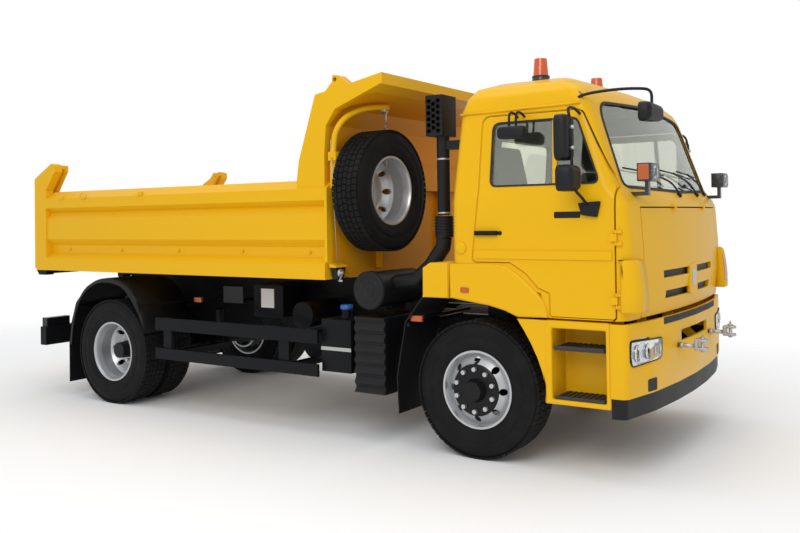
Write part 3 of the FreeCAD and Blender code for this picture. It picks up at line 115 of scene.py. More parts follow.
class Finish:
    """One material, built from a Principled surface and masks on object coordinates."""

    def __init__(self, name, colour, rough=0.5, metal=0.0, **sockets):
        self.material = bpy.data.materials.new(name)
        self.material.use_nodes = True
        self.tree = self.material.node_tree
        self.surface = self.tree.nodes["Principled BSDF"]
        for socket, value in {"Base Color": colour, "Roughness": rough, "Metallic": metal, **sockets}.items():
            self.feed(socket.replace("_", " "), value)
        self.material.diffuse_color = (*colour, 1)

    def feed(self, socket, value):
        """Sets or links one socket of the surface."""
        feed(self.tree, self.surface.inputs[socket], value)

    def coords(self):
        """Object coordinates, so that no texture slides when a piece moves."""
        return made(self.tree, "ShaderNodeTexCoord", output="Object")

    def place(self):
        """X, Y and Z in the frame, as three values."""
        split = new_node(self.tree, "ShaderNodeSeparateXYZ", {0: self.coords()})
        return [Value(self.tree, output) for output in split.outputs]

    def noise(self, scale, detail=3.0, rough=0.5):
        """Noise from 0 to 1; a larger scale gives finer grain."""
        return made(self.tree, "ShaderNodeTexNoise", {"Vector": self.coords(), "Scale": scale, "Detail": detail,
                                                      "Roughness": rough})

    def mix(self, mask, first, second):
        """The first colour where the mask is 0, the second where it is 1."""
        return made(self.tree, "ShaderNodeMix", {6: first, 7: second, 0: mask}, output=2, data_type="RGBA")

    def bump(self, height, strength, distance=0.001):
        """Relief of the surface, shading only."""
        self.feed("Normal", made(self.tree, "ShaderNodeBump", {"Height": height, "Strength": strength,
                                                               "Distance": distance}))


def node_group(name, sizes):
    """An empty geometry node group: a mesh and named sizes in, a mesh out."""
    group = bpy.data.node_groups.new(name, "GeometryNodeTree")
    for label, kind in (("Geometry", "Geometry"), *sizes):
        group.interface.new_socket(label, in_out="INPUT", socket_type="NodeSocket" + kind)
    group.interface.new_socket("Geometry", in_out="OUTPUT", socket_type="NodeSocketGeometry")
    given = new_node(group, "NodeGroupInput").outputs
    return group, {label: Value(group, given[label]) for label in ("Geometry", *(size[0] for size in sizes))}


# Finishes

YELLOW = (0.83, 0.455, 0.008)
# painted shade and reflected light for the headboard's hollow
SHADED_RECESS_YELLOW = (0.8, 0.345, 0.004)
CHASSIS_BLACK = (0.006, 0.0065, 0.008)
PLASTIC_BLACK = (0.008, 0.008, 0.009)
LAMP_BLACK = (0.018, 0.018, 0.02)
LINING_GREY = (0.2, 0.2, 0.19)
RIM_SILVER = (0.56, 0.57, 0.58)
BRIGHT = (0.8, 0.81, 0.82)
BEACON_AMBER = (0.62, 0.095, 0.006)


def painted(name, colour, rough, zones=None):
    """Gloss paint with a little dust low down; zones may give it a second colour, and black, where masks are 1."""
    paint = Finish(name, colour, rough, Coat_Weight=0.06, Coat_Roughness=0.08, Specular_IOR_Level=0.12)
    x, y, z = paint.place()
    dust = (paint.noise(2.2, 5.0) - 0.45) * 1.6
    low = (1.5 - z * 1.4).clamp()
    paint.feed("Roughness", (dust * low).clamp() * 0.25 + rough)
    paint.bump(paint.noise(38.0, 1.0), 0.03)
    if zones:
        mask, second, black = zones(x - AXLE_X, y, z)
        shade = paint.mix(mask, colour, second)
        paint.feed("Base Color", paint.mix(black, shade, (0.012, 0.012, 0.013)) if black else shade)
        paint.feed("Coat Weight", (1 - mask) * 0.06)
    return paint.material


# The cab's lining, just under its skin, as sloping planes: height, reach at that height, slope above it
LINING_SIDE = ((2.05, 1.19, -0.1083), (2.74, 1.105, -0.875), (2.82, 1.035, -3.5))
LINING_FRONT = ((2.05, 1.195, -0.355), (2.74, 0.925, -1.19), (2.82, 0.83, -2.67))
LINING_BACK = ((2.05, -0.125, 0.075), (2.74, -0.045, 0.625), (2.82, 0.005, 1.33))


def lining(z, planes, limit, pick):
    """How far the lining reaches at a height: the tightest of its planes and a limit."""
    reach = z * 0.0 + limit
    for height, there, slope in planes:
        reach = reach.maths(pick, (z - height) * slope + there)
    return reach


def inside_cab(x, y, z):
    """Grey on the surfaces that face the crew, black on the door handles."""
    ahead = x + y * y / 16.0
    within = z.between(1.335, 2.838) * (y.size() < lining(z, LINING_SIDE, 1.2, "MINIMUM"))
    within *= (ahead < lining(z, LINING_FRONT, 1.278, "MINIMUM")) * (x > lining(z, LINING_BACK, -0.125, "MAXIMUM"))
    handle = x.between(0.062, 0.256) * z.between(1.7005, 1.7375) * (y.size() > 1.2315)
    return within, LINING_GREY, handle


def shaded_under_body(x, y, z):
    """Painted shade: black below the tub's floor, where its underside lies in shadow."""
    return z < 1.329, CHASSIS_BLACK, None


def shaded_recess(x, y, z):
    """Painted shade and reflected light: the headboard's hollow for the spare wheel is given a darker, warmer
    yellow.
    """
    return x.between(-1.42, -0.95) * (y.size() < 1.185) * (z > 1.34), SHADED_RECESS_YELLOW, None


def plain(name, colour, rough, metal=0.0, grain=0.0, grain_scale=300.0, **sockets):
    """One colour, with a fine grain where one is given."""
    finish = Finish(name, colour, rough, metal, **sockets)
    if grain:
        finish.bump(finish.noise(grain_scale, 2.0), grain)
    return finish.material


def rubber():
    """Black rubber, greyer where road dust lies."""
    finish = Finish("tyre_rubber", (0.01, 0.01, 0.011), 0.8, Specular_IOR_Level=0.25)
    dust = (finish.noise(6.0, 6.0, 0.6) - 0.42) * 2.2
    finish.feed("Base Color", finish.mix(dust.clamp(), (0.0045, 0.0043, 0.005), (0.014, 0.013, 0.013)))
    finish.bump(finish.noise(160.0, 2.0), 0.12)
    return finish.material


def rim_silver(name, axle_x, hub_reach, nuts_from):
    """Silver rim with a black hub; the wheel nuts, out past nuts_from, stay bright."""
    finish = Finish(name, RIM_SILVER, 0.36, 0.75, Specular_IOR_Level=0.25)
    x, y, z = finish.place()
    radius = length(x - (AXLE_X + axle_x), z - TYRE_R)
    nut = ((radius - 0.16).size() < 0.021) * (y.size() > nuts_from)
    hub = (radius < hub_reach) * (1 - nut)
    finish.feed("Base Color", finish.mix(hub, RIM_SILVER, (0.006, 0.006, 0.007)))
    finish.feed("Metallic", (1 - hub) * 0.75)
    finish.bump(finish.noise(90.0, 2.0), 0.05)
    return finish.material


def lamp_housings():
    """Amber domes on the roof, black feet under them and black housings for the work lamps."""
    finish = Finish("cab_lamp_parts", BEACON_AMBER, Coat_Weight=0.6)
    z = finish.place()[2]
    dark = ((z < 2.8) + z.between(2.885, 2.945)).clamp()
    finish.feed("Base Color", finish.mix(dark, BEACON_AMBER, LAMP_BLACK))
    finish.feed("Roughness", dark * 0.35 + 0.15)
    return finish.material


def lamp_bodies():
    """Bright bowls at the front, black housings at the tail."""
    finish = Finish("lamp_bodies", BRIGHT, 0.15)
    front = finish.place()[0] > 0.0
    finish.feed("Base Color", finish.mix(front, PLASTIC_BLACK, BRIGHT))
    finish.feed("Metallic", front)
    return finish.material


def mudguard_plastic():
    """Black mudguards over the rear wheels; the crowns behind the cab, on the same node, are yellow."""
    finish = Finish("mudguard_plastic", PLASTIC_BLACK, 0.45, Specular_IOR_Level=0.2)
    x, _, z = finish.place()
    crown = (x > AXLE_X - 0.405) * (z > 1.2235)
    finish.feed("Base Color", finish.mix(crown, PLASTIC_BLACK, YELLOW))
    return finish.material


YELLOW_PAINT = painted("yellow_paint", YELLOW, 0.3, inside_cab)
# the tub's paint, with painted shade on its underside
BODY_PAINT = painted("body_paint", YELLOW, 0.36, shaded_under_body)
HEADBOARD_PAINT = painted("headboard_paint", YELLOW, 0.36, shaded_recess)
FRAME_PAINT = painted("frame_paint", CHASSIS_BLACK, 0.45)
AXLE_IRON = plain("axle_iron", (0.01, 0.0105, 0.012), 0.6, grain=0.25, grain_scale=60.0)
SPRING_STEEL = plain("spring_steel", (0.03, 0.03, 0.032), 0.5, 0.3, grain=0.15)
BLACK_PLASTIC = plain("black_plastic", PLASTIC_BLACK, 0.48, grain=0.1, grain_scale=700.0, Specular_IOR_Level=0.3)
CABIN_PLASTIC = plain("cabin_plastic", (0.1, 0.1, 0.105), 0.6, grain=0.1, grain_scale=600.0)
SEAT_CLOTH = plain("seat_cloth", (0.3, 0.3, 0.29), 0.9, grain=0.5, grain_scale=900.0)
TYRE_RUBBER = rubber()
FRONT_RIM = rim_silver("front_rim_paint", 0.0, 0.198, 1.158)
REAR_RIM = rim_silver("rear_rim_paint", REAR_AXLE, 0.125, 0.96)
SPARE_RIM = plain("spare_rim_paint", RIM_SILVER, 0.36, 0.75, grain=0.05)
BARE_STEEL = plain("bare_steel", (0.52, 0.52, 0.5), 0.42, 0.8, grain=0.2, grain_scale=120.0)
LAMP_BODIES = lamp_bodies()
MUDGUARD_PLASTIC = mudguard_plastic()
TREAD_STEEL = plain("tread_steel", (0.05, 0.048, 0.045), 0.6, 0.4, grain=0.3, grain_scale=90.0)
CAB_LAMPS = lamp_housings()
HOIST_CHROME = plain("hoist_chrome", (0.62, 0.63, 0.64), 0.15, 1.0)
ALUMINIUM = plain("aluminium", (0.6, 0.61, 0.62), 0.38, 0.85, grain=0.1)
REFLECTOR = plain("lamp_reflector", BRIGHT, 0.12, 1.0)
WINDOW_GLASS = plain("window_glass", (0.86, 0.88, 0.79), 0.0, 0.16, Transmission_Weight=1.0, IOR=1.2)
LAMP_LENS = plain("lamp_lens", (0.93, 0.95, 0.96), 0.02, Transmission_Weight=0.9, IOR=1.3)
AMBER_LENS = plain("amber_lens", (0.58, 0.105, 0.006), 0.12, Transmission_Weight=0.15, Coat_Weight=0.8)
RED_LENS = plain("red_lens", (0.45, 0.008, 0.006), 0.14, Transmission_Weight=0.15, Coat_Weight=0.8)
MIRROR_FACE = plain("mirror_face", (0.86, 0.88, 0.9), 0.03, 1.0)
BLUE_CAP = plain("blue_cap", (0.03, 0.13, 0.45), 0.4)
WHITE_LABEL = plain("white_label", (0.8, 0.8, 0.78), 0.5)
WINDOW_SEAL = plain("window_seal", (0.012, 0.012, 0.013), 0.65)

SLOT_FINISH = {
    "cab_paint": YELLOW_PAINT, "body_paint": BODY_PAINT, "frame_paint": FRAME_PAINT, "black_plastic": BLACK_PLASTIC,
    "tyre_rubber": TYRE_RUBBER, "cabin_plastic": CABIN_PLASTIC, "steel": BARE_STEEL, "aluminium": ALUMINIUM,
    "lamp_lens": LAMP_LENS, "amber_lens": AMBER_LENS, "white_box": WHITE_LABEL,
}

NODE_FINISH = {
    YELLOW_PAINT: "cab_shell door_right door_left front_panel cab_fenders bumper step_skirts",
    BODY_PAINT: "tub tailgate davit",
    HEADBOARD_PAINT: "headboard",
    FRAME_PAINT: "chassis_frame side_guards underrun_bar side_boxes tanks front_axle rear_axle",
    AXLE_IRON: "power_unit knuckle_left knuckle_right tie_rod hoist_barrel silencer",
    SPRING_STEEL: "leaf_springs",
    MUDGUARD_PLASTIC: "mudguards",
    BLACK_PLASTIC: "valance air_filter snorkel wipers mirror_right mirror_left front_mirror grille",
    CABIN_PLASTIC: "dashboard",
    SEAT_CLOTH: "seats",
    BARE_STEEL: "tow_forks",
    HOIST_CHROME: "hoist_stage_1 hoist_stage_2 hoist_rod",
    WINDOW_GLASS: "cab_glass door_glass_right door_glass_left",
    TYRE_RUBBER: "tyre_front_left tyre_front_right tyres_rear_left tyres_rear_right spare_tyre",
    FRONT_RIM: "rim_front_left rim_front_right",
    REAR_RIM: "rims_rear_left rims_rear_right",
    SPARE_RIM: "spare_rim",
    LAMP_BODIES: "lamps",
    CAB_LAMPS: "cab_lamps",
    TREAD_STEEL: "step_treads",
}


def finish_nodes():
    """Gives every CAD node its finish."""
    for material, names in NODE_FINISH.items():
        for name in names.split():
            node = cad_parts[name]
            node.data.materials.clear()
            node.data.materials.append(material)
            for face in node.data.polygons:
                face.material_index = 0


ROUNDED_NODES = {"cab_lamps": 0.008, "step_skirts": 0.014, "bumper": 0.01, "side_boxes": 0.008, "tanks": 0.03,
                 "snorkel": 0.014}
SMOOTHED_NODES = ("cab_shell", "door_right", "door_left", "front_panel")
SHARP_ANGLE, ROUNDED_ANGLE = math.radians(38), math.radians(35)
FLAT_ANGLE = math.radians(1.0)
SAME_SPOT = 0.00002


def shading_group():
    """Shades the faces of a skin as one surface, except across edges sharper than an angle."""
    group, given = node_group("shade_as_one_surface", (("Sharp Angle", "Float"),))
    group.interface.items_tree["Sharp Angle"].default_value = SHARP_ANGLE
    skin = made(group, "GeometryNodeRemoveAttribute", {"Geometry": given["Geometry"], "Name": "custom_normal"})
    angle = made(group, "GeometryNodeInputMeshEdgeAngle")
    sharp = made(group, "FunctionNodeCompare", {0: angle, 1: given["Sharp Angle"]})
    skin = made(group, "GeometryNodeStoreNamedAttribute", {"Geometry": skin, "Name": "sharp_edge", "Value": sharp},
                data_type="BOOLEAN", domain="EDGE")
    new_node(group, "NodeGroupOutput", {0: made(group, "GeometryNodeSetShadeSmooth", {"Geometry": skin})})
    return group


def round_edges():
    """Draws the sharp edges of pressed and moulded nodes round, and shades the cab's skin as one surface."""
    for name, width in ROUNDED_NODES.items():
        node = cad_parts[name]
        node.modifiers.new("weld", "WELD").merge_threshold = SAME_SPOT
        flat = node.modifiers.new("flat_faces", "DECIMATE")
        flat.decimate_type, flat.angle_limit = "DISSOLVE", FLAT_ANGLE
        bevel = node.modifiers.new("round_edges", "BEVEL")
        bevel.width, bevel.segments, bevel.angle_limit = width, 3, ROUNDED_ANGLE
        bevel.limit_method, bevel.harden_normals = "ANGLE", True
        for face in node.data.polygons:
            face.use_smooth = True
    shading = shading_group()
    for name in SMOOTHED_NODES:
        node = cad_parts[name]
        node.modifiers.new("weld", "WELD").merge_threshold = SAME_SPOT
        node.modifiers.new("shading", "NODES").node_group = shading
        node.modifiers.new("flat_panels", "WEIGHTED_NORMAL").keep_sharp = True


# Meshes in metres ahead of the front axle, one joined piece per purpose and body

ROUND_STEPS = (0.52, 1.05, 1.571)       # angles at which a pillow's rim is drawn, from its wall to its face


class Piece:
    """Plain solids gathered into one mesh that rides on one body."""

    def __init__(self, name, body, slot):
        self.name, self.body, self.slot = name, body, slot
        self.mesh = bmesh.new()
        self.materials = []

    def number(self, material):
        """A finish's number on this piece; the slot's own finish unless another is named."""
        material = material or SLOT_FINISH[self.slot]
        if material not in self.materials:
            self.materials.append(material)
        return self.materials.index(material)

    def add(self, verts, faces, smooth=False, material=None):
        """Adds faces that name their corners by number; returns the corners."""
        number = self.number(material)
        corners = [self.mesh.verts.new(vert) for vert in verts]
        for face in faces:
            new = self.mesh.faces.new([corners[index] for index in face])
            new.material_index, new.smooth = number, smooth
        return corners

    def box(self, x0, x1, y0, y1, z0, z1, material=None):
        """A block between two places on each axis."""
        verts = [(x, y, z) for x in (x0, x1) for y in (y0, y1) for z in (z0, z1)]
        faces = ((0, 1, 3, 2), (4, 6, 7, 5), (0, 4, 5, 1), (2, 3, 7, 6), (0, 2, 6, 4), (1, 5, 7, 3))
        self.add(verts, faces, material=material)

    def prism(self, outline, low, high, axis=1, material=None):
        """A solid from a flat outline, drawn between two places along an axis."""
        count = len(outline)
        verts = [(*pair[:axis], along, *pair[axis:]) for along in (low, high) for pair in outline]
        faces = [tuple(range(count)), tuple(range(2 * count - 1, count - 1, -1))]
        faces += [(i, i + count, (i + 1) % count + count, (i + 1) % count) for i in range(count)]
        self.add(verts, faces, material=material)

    def loft(self, rings, smooth=True, material=None):
        """A solid through closed rings of points, flat at both ends."""
        count = len(rings[0])
        faces = [(ring * count + i, ring * count + (i + 1) % count, (ring + 1) * count + (i + 1) % count,
                  (ring + 1) * count + i) for ring in range(len(rings) - 1) for i in range(count)]
        corners = self.add([point for ring in rings for point in ring], faces, smooth, material)
        for end in (corners[:count][::-1], corners[-count:]):
            self.mesh.faces.new(end).material_index = self.number(material)

    def pillow(self, outline, low, high, low_edge, high_edge, axis=1, material=None):
        """A solid from a flat outline along an axis, with its rims rounded."""
        count = len(outline)
        away = []
        for index, here in enumerate(outline):
            before, after = Vector(outline[index - 1]), Vector(outline[(index + 1) % count])
            along = ((Vector(here) - before).normalized() + (after - Vector(here)).normalized()).normalized()
            away.append(Vector((along.y, -along.x)))
        area = sum(a[0] * b[1] - b[0] * a[1] for a, b in zip(outline, outline[1:] + outline[:1]))
        inward = -1 if area > 0 else 1
        low_steps, high_steps = ROUND_STEPS[::-1] if low_edge else (), ROUND_STEPS if high_edge else ()
        levels = [(low + low_edge * (1 - math.sin(t)), low_edge * (1 - math.cos(t))) for t in low_steps]
        levels += [(low + low_edge, 0), (high - high_edge, 0)]
        levels += [(high - high_edge * (1 - math.sin(t)), high_edge * (1 - math.cos(t))) for t in high_steps]
        rings = []
        for along, inset in levels:
            ring = [(a + out.x * inset * inward, b + out.y * inset * inward) for (a, b), out in zip(outline, away)]
            rings.append([(*pair[:axis], along, *pair[axis:]) for pair in ring])
        self.loft(rings, material=material)

    def plate(self, outline, surface, low, high, material=None):
        """A thin plate that follows a surface; surface(a, b, lift) gives the point in space."""
        self.loft([[surface(a, b, lift) for a, b in outline] for lift in (low, high)], False, material)

    def tube(self, points, radius, sides=10, material=None, radii=None):
        """A round bar that follows points, closed at both ends; radii may give each point its own radius."""
        points = [Vector(point) for point in points]
        frames, side = [], None
        for index, point in enumerate(points):
            along = (points[min(index + 1, len(points) - 1)] - points[max(index - 1, 0)]).normalized()
            if side is None:
                side = along.orthogonal().normalized()
            side = (side - along * side.dot(along)).normalized()
            frames.append((point, side, along.cross(side)))
        verts = []
        for index, (point, side, up) in enumerate(frames):
            reach = radii[index] if radii else radius
            for turn in range(sides):
                angle = 2 * math.pi * turn / sides
                verts.append(point + side * (reach * math.cos(angle)) + up * (reach * math.sin(angle)))
        faces = []
        for ring in range(len(points) - 1):
            for turn in range(sides):
                after = (turn + 1) % sides
                faces.append((ring * sides + turn, ring * sides + after, (ring + 1) * sides + after,
                              (ring + 1) * sides + turn))
        last = (len(points) - 1) * sides
        faces += [tuple(range(sides - 1, -1, -1)), tuple(range(last, last + sides))]
        self.add(verts, faces, True, material)

    def lathe(self, centre, axis, profile, sides=48, material=None):
        """A round solid from (distance along the axis, radius) pairs."""
        step = Vector([1.0 if index == axis else 0.0 for index in range(3)])
        points = [Vector(centre) + step * along for along, _ in profile]
        self.tube(points, 0, sides, material, [radius for _, radius in profile])

    def band(self, outline, inner, outer, height, surface, skip=None, material=None):
        """A strip round a closed outline on a curved surface, left out where skip(a, b) holds."""
        count = len(outline)
        verts = []
        for index, (a, b) in enumerate(outline):
            before, after = outline[index - 1], outline[(index + 1) % count]
            along = Vector((after[0] - before[0], after[1] - before[1])).normalized()
            out = Vector((along.y, -along.x))
            for reach, lift in ((-inner, -height), (-inner, height), (outer, height), (outer, -height)):
                verts.append(surface(a + out.x * reach, b + out.y * reach, lift))
        faces = []
        for index in range(count):
            after = (index + 1) % count
            if skip and skip(*outline[index]) and skip(*outline[after]):
                continue
            for corner in range(4):
                other = (corner + 1) % 4
                faces.append((index * 4 + corner, after * 4 + corner, after * 4 + other, index * 4 + other))
        self.add(verts, faces, material=material)

    def mirror(self):
        """Adds the same solids on the truck's other side."""
        twin = bmesh.ops.duplicate(self.mesh, geom=self.mesh.verts[:] + self.mesh.edges[:] + self.mesh.faces[:])
        faces = [item for item in twin["geom"] if isinstance(item, bmesh.types.BMFace)]
        for item in twin["geom"]:
            if isinstance(item, bmesh.types.BMVert):
                item.co.y = -item.co.y
        bmesh.ops.reverse_faces(self.mesh, faces=faces)
        return self

    def done(self):
        """Makes the object, moved to the front axle, on its body and with its finishes."""
        bmesh.ops.recalc_face_normals(self.mesh, faces=self.mesh.faces[:])
        for vert in self.mesh.verts:
            vert.co.x += AXLE_X
        data = bpy.data.meshes.new(self.name)
        self.mesh.to_mesh(data)
        self.mesh.free()
        for material in self.materials:
            data.materials.append(material)
        item = bpy.data.objects.new(self.name, data)
        bpy.context.collection.objects.link(item)
        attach(item, self.body)
        return item


def pane(a0, a1, b0, b1, radii=0):
    """A rectangle's outline, its corners rounded."""
    return rounded(((a0, b0), (a1, b0), (a1, b1), (a0, b1)), radii)


def rounded(points, radii, steps=6):
    """An outline's corner points with each corner rounded."""
    out = []
    count = len(points)
    for index, corner in enumerate(points):
        corner = Vector(corner)
        reach = radii[index] if isinstance(radii, tuple) else radii
        to_last = Vector(points[index - 1]) - corner
        to_next = Vector(points[(index + 1) % count]) - corner
        if not reach:
            out.append(tuple(corner))
            continue
        half = to_last.angle(to_next) / 2
        cut = min(reach / math.tan(half), to_last.length * 0.49, to_next.length * 0.49)
        start, end = corner + to_last.normalized() * cut, corner + to_next.normalized() * cut
        for step in range(steps + 1):
            share = step / steps
            first, second = start.lerp(corner, share), corner.lerp(end, share)
            out.append(tuple(first.lerp(second, share)))
    return out


def through(points, steps=5):
    """A smooth path through points."""
    points = [Vector(point) for point in points]
    path = []
    for index in range(len(points) - 1):
        first, second = points[index], points[index + 1]
        before = points[index - 1] if index else first * 2 - second
        after = points[index + 2] if index + 2 < len(points) else second * 2 - first
        bend, twist = 2 * before - 5 * first + 4 * second - after, 3 * first - before - 3 * second + after
        for step in range(steps):
            t = step / steps
            path.append(0.5 * (2 * first + (second - before) * t + bend * t ** 2 + twist * t ** 3))
    return path + [points[-1]]


CAB_LEVELS = ((1.115, 1.305, 1.23, -0.163), (1.35, 1.335, 1.23, -0.163), (1.6, 1.335, 1.23, -0.163),
              (1.9, 1.315, 1.23, -0.163), (1.96, 1.288, 1.23, -0.163), (2.05, 1.22, 1.215, -0.16),
              (2.65, 1.007, 1.15, -0.115), (2.74, 0.955, 1.13, -0.08), (2.82, 0.86, 1.06, -0.03),
              (2.88, 0.7, 0.85, 0.05))
CAB_BOW = 8.0


def cab_at(z):
    """Front, half width and back of the cab skin at a height."""
    for low, high in zip(CAB_LEVELS, CAB_LEVELS[1:]):
        if z <= high[0]:
            break
    share = (z - low[0]) / (high[0] - low[0])
    return [a + (b - a) * share for a, b in zip(low[1:], high[1:])]


def cab_front(y, z, lift):
    """A point on the cab's bowed front, lifted off it."""
    return (cab_at(z)[0] - CAB_BOW + math.sqrt(CAB_BOW ** 2 - y * y) + lift, y, z)


def cab_side(x, z, lift):
    """A point on the cab's right side, lifted off it."""
    return (x, -cab_at(z)[1] - lift, z)


def cab_back(y, z, lift):
    """A point on the cab's back wall, lifted off it."""
    return (cab_at(z)[2] - lift, y, z)


# Repeats, made by one node group and then kept as plain meshes

def repeat_group():
    """Copies its mesh a number of times, each copy moved by a step and turned about the Y axis by a turn."""
    group, given = node_group("repeat_round_or_along", (("Count", "Int"), ("Step", "Vector"), ("Turn", "Float"),
                                                        ("Material", "Material")))
    index = made(group, "GeometryNodeInputIndex")
    place = made(group, "ShaderNodeVectorMath", {0: given["Step"], "Scale": index}, operation="SCALE")
    points = made(group, "GeometryNodePoints", {"Count": given["Count"], "Position": place})
    spin = made(group, "ShaderNodeCombineXYZ", {"Y": index * given["Turn"]})
    copies = made(group, "GeometryNodeInstanceOnPoints", {"Points": points, "Instance": given["Geometry"],
                                                          "Rotation": spin})
    solid = made(group, "GeometryNodeRealizeInstances", {0: copies})
    solid = made(group, "GeometryNodeSetMaterial", {"Geometry": solid, "Material": given["Material"]})
    new_node(group, "NodeGroupOutput", {0: solid})
    return group


REPEAT = repeat_group()


def repeated(piece, count, step=(0, 0, 0), turn=0.0):
    """The piece's mesh repeated by the node group, as vertices and faces."""
    data = bpy.data.meshes.new("repeat_source")
    piece.mesh.to_mesh(data)
    item = bpy.data.objects.new("repeat_source", data)
    bpy.context.collection.objects.link(item)
    modifier = item.modifiers.new("repeat", "NODES")
    modifier.node_group = REPEAT
    named = {socket.name: socket.identifier for socket in REPEAT.interface.items_tree if socket.in_out == "INPUT"}
    for name, value in (("Count", count), ("Step", step), ("Turn", turn), ("Material", piece.materials[0])):
        modifier[named[name]] = value
    bpy.context.view_layer.update()
    solid = bpy.data.meshes.new_from_object(item.evaluated_get(bpy.context.evaluated_depsgraph_get()))
    found = [vert.co.copy() for vert in solid.vertices], [tuple(face.vertices) for face in solid.polygons]
    bpy.data.objects.remove(item)
    bpy.data.meshes.remove(solid)
    return found


# Tyres: one carcass with raised blocks, turned about the axle; (distance from the tyre's middle, radius) pairs

SIDE_PROFILE = ((0.088, 0.286), (0.105, 0.286), (0.122, 0.318), (0.136, 0.352), (0.1395, 0.375), (0.1385, 0.4),
                (0.134, 0.405), (0.1365, 0.41), (0.1355, 0.45), (0.132, 0.468), (0.124, 0.49), (0.112, 0.5105))

RIB_BLOCKS = ((-0.124, -0.078, 0.004), (-0.07, -0.027, -0.008), (-0.0195, 0.0195, 0.008), (0.027, 0.07, -0.008),
              (0.078, 0.124, 0.004))       # each rib's edges along the axle, and its blocks' shift round the tyre
BLOCK_LENGTH, BLOCK_FOOT, BLOCK_TOP = 0.0485, 0.508, 0.5245
BLOCKS_ROUND, CARCASS_STEPS = 61, 96


def tread_blocks():
    """One row of blocks across the tread, repeated round the tyre."""
    row = Piece("tread_blocks", "chassis", "tyre_rubber")
    half = BLOCK_LENGTH / 2
    for y0, y1, shift in RIB_BLOCKS:
        corners = [(-half + shift, y0), (half + shift, y0), (half + shift * 0.4, y1), (-half + shift * 0.4, y1)]
        foot = [(x, y, BLOCK_FOOT) for x, y in corners]
        top = [(x * 0.96, y, BLOCK_TOP - 0.5 * x * x) for x, y in corners]
        row.add(foot + top, ((3, 2, 1, 0), (4, 5, 6, 7), (0, 1, 5, 4), (1, 2, 6, 5), (2, 3, 7, 6), (3, 0, 4, 7)))
    found = repeated(row, BLOCKS_ROUND, turn=2 * math.pi / BLOCKS_ROUND)
    row.mesh.free()
    return found


def carcass():
    """The tyre's walls and the floor of its grooves, as one ring of quads."""
    loop = SIDE_PROFILE + tuple((-y, radius) for y, radius in reversed(SIDE_PROFILE))
    turns = [2 * math.pi * turn / CARCASS_STEPS for turn in range(CARCASS_STEPS)]
    verts = [(radius * math.sin(angle), y, radius * math.cos(angle)) for angle in turns for y, radius in loop]
    faces = []
    for turn in range(CARCASS_STEPS):
        here, after = turn * len(loop), (turn + 1) % CARCASS_STEPS * len(loop)
        for index in range(len(loop)):
            step = (index + 1) % len(loop)
            faces.append((here + index, after + index, after + step, here + step))
    return verts, faces


def tyre_looks(name, body, centre, axis=1):
    """A carcass with its tread, in the place of a plain CAD tyre."""
    tyre = Piece(name, body, "tyre_rubber")
    for (spots, faces), smooth in ((CARCASS, True), (TREAD, False)):
        placed = [(x, y, z) if axis == 1 else (y, x, z) for x, y, z in spots]
        tyre.add([Vector(centre) + Vector(spot) for spot in placed], faces, smooth)
    return tyre.done()


CARCASS, TREAD = carcass(), tread_blocks()


def all_tyres():
    """Treaded tyres on every wheel and on the spare, in place of the plain ones."""
    for side, sign in SIDES:
        front = tyre_looks("front_tyre_tread_" + side, "wheel_front_" + side, (0, sign * 1.02, TYRE_R))
        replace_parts(front, "tyre_front_" + side)
        outer = tyre_looks("outer_tyre_tread_" + side, "wheels_rear_" + side, (REAR_AXLE, sign * 1.105, TYRE_R))
        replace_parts(outer, "tyres_rear_" + side)
        tyre_looks("inner_tyre_tread_" + side, "wheels_rear_" + side, (REAR_AXLE, sign * 0.785, TYRE_R))
    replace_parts(tyre_looks("spare_tyre_tread", "dump_body", (-1.124, -0.782, 2.077), 0), "spare_tyre")


# Cab trim

WINDSCREEN = rounded(((-1.05, 2.04), (0, 2.015), (1.05, 2.04), (0.985, 2.655), (0, 2.7), (-0.985, 2.655)),
                     (0.07, 0, 0.07, 0.17, 0, 0.17))
DOOR_WINDOW = rounded(((0.187, 2.066), (1.04, 2.066), (0.862, 2.535), (0.195, 2.535)), (0.05, 0.04, 0.07, 0.06))
DOOR = rounded(((0.036, 1.505), (0.35, 1.505), (0.48, 1.425), (0.575, 1.325), (0.665, 1.29), (0.665, 1.127),
                (1.146, 1.127), (1.148, 1.98), (1.146, 2.035), (0.892, 2.588), (0.108, 2.588), (0.094, 2.0)),
               (0.03, 0.06, 0.06, 0.04, 0.02, 0.02, 0.02, 0, 0.025, 0.06, 0.06, 0))
REAR_WINDOW = pane(-0.5, 0.5, 2.1, 2.48, 0.06)
MIRROR_ARM_R = 0.0105


def finer(outline, longest=0.08):
    """The outline with points added, so that a strip can follow a curved panel."""
    out = []
    for index, first in enumerate(outline):
        second = outline[(index + 1) % len(outline)]
        count = max(1, math.ceil(math.dist(first, second) / longest))
        out += [tuple(Vector(first).lerp(Vector(second), step / count)) for step in range(count)]
    return out


def cab_trim():
    """Window seals, door rebates, drip rail and the heater's cap."""
    seals = Piece("cab_window_seals", "cab", "black_plastic")
    seals.band(finer(WINDSCREEN), 0.01, 0.012, 0.005, cab_front, material=WINDOW_SEAL)
    seals.band(finer(REAR_WINDOW), 0.01, 0.012, 0.005, cab_back, material=WINDOW_SEAL)
    seals.done()

    rebate = Piece("door_rebates", "cab", "cab_paint")
    rebate.band(finer(DOOR), -0.0055, 0.014, 0.003, lambda x, z, lift: cab_side(x, z, lift - 0.01),
                skip=lambda x, z: x > 1.125 or z > 1.98 and x > 0.88)
    rebate.mirror().done()

    trim = Piece("cab_side_trim", "cab", "cab_paint")
    rail = [cab_side(x, z, 0.004) for x, z in ((-0.093, 2.622), (0.3, 2.628), (0.774, 2.636), (0.885, 2.64))]
    trim.tube(rail, 0.01, 8, BODY_PAINT)
    trim.mirror().done()

    cap = Piece("fuel_heater_cap", "cab", "black_plastic")
    cap.lathe((-0.065, -1.226, 1.606), 1, ((0, 0.045), (-0.012, 0.045), (-0.016, 0.04)), 32, YELLOW_PAINT)
    cap.done()


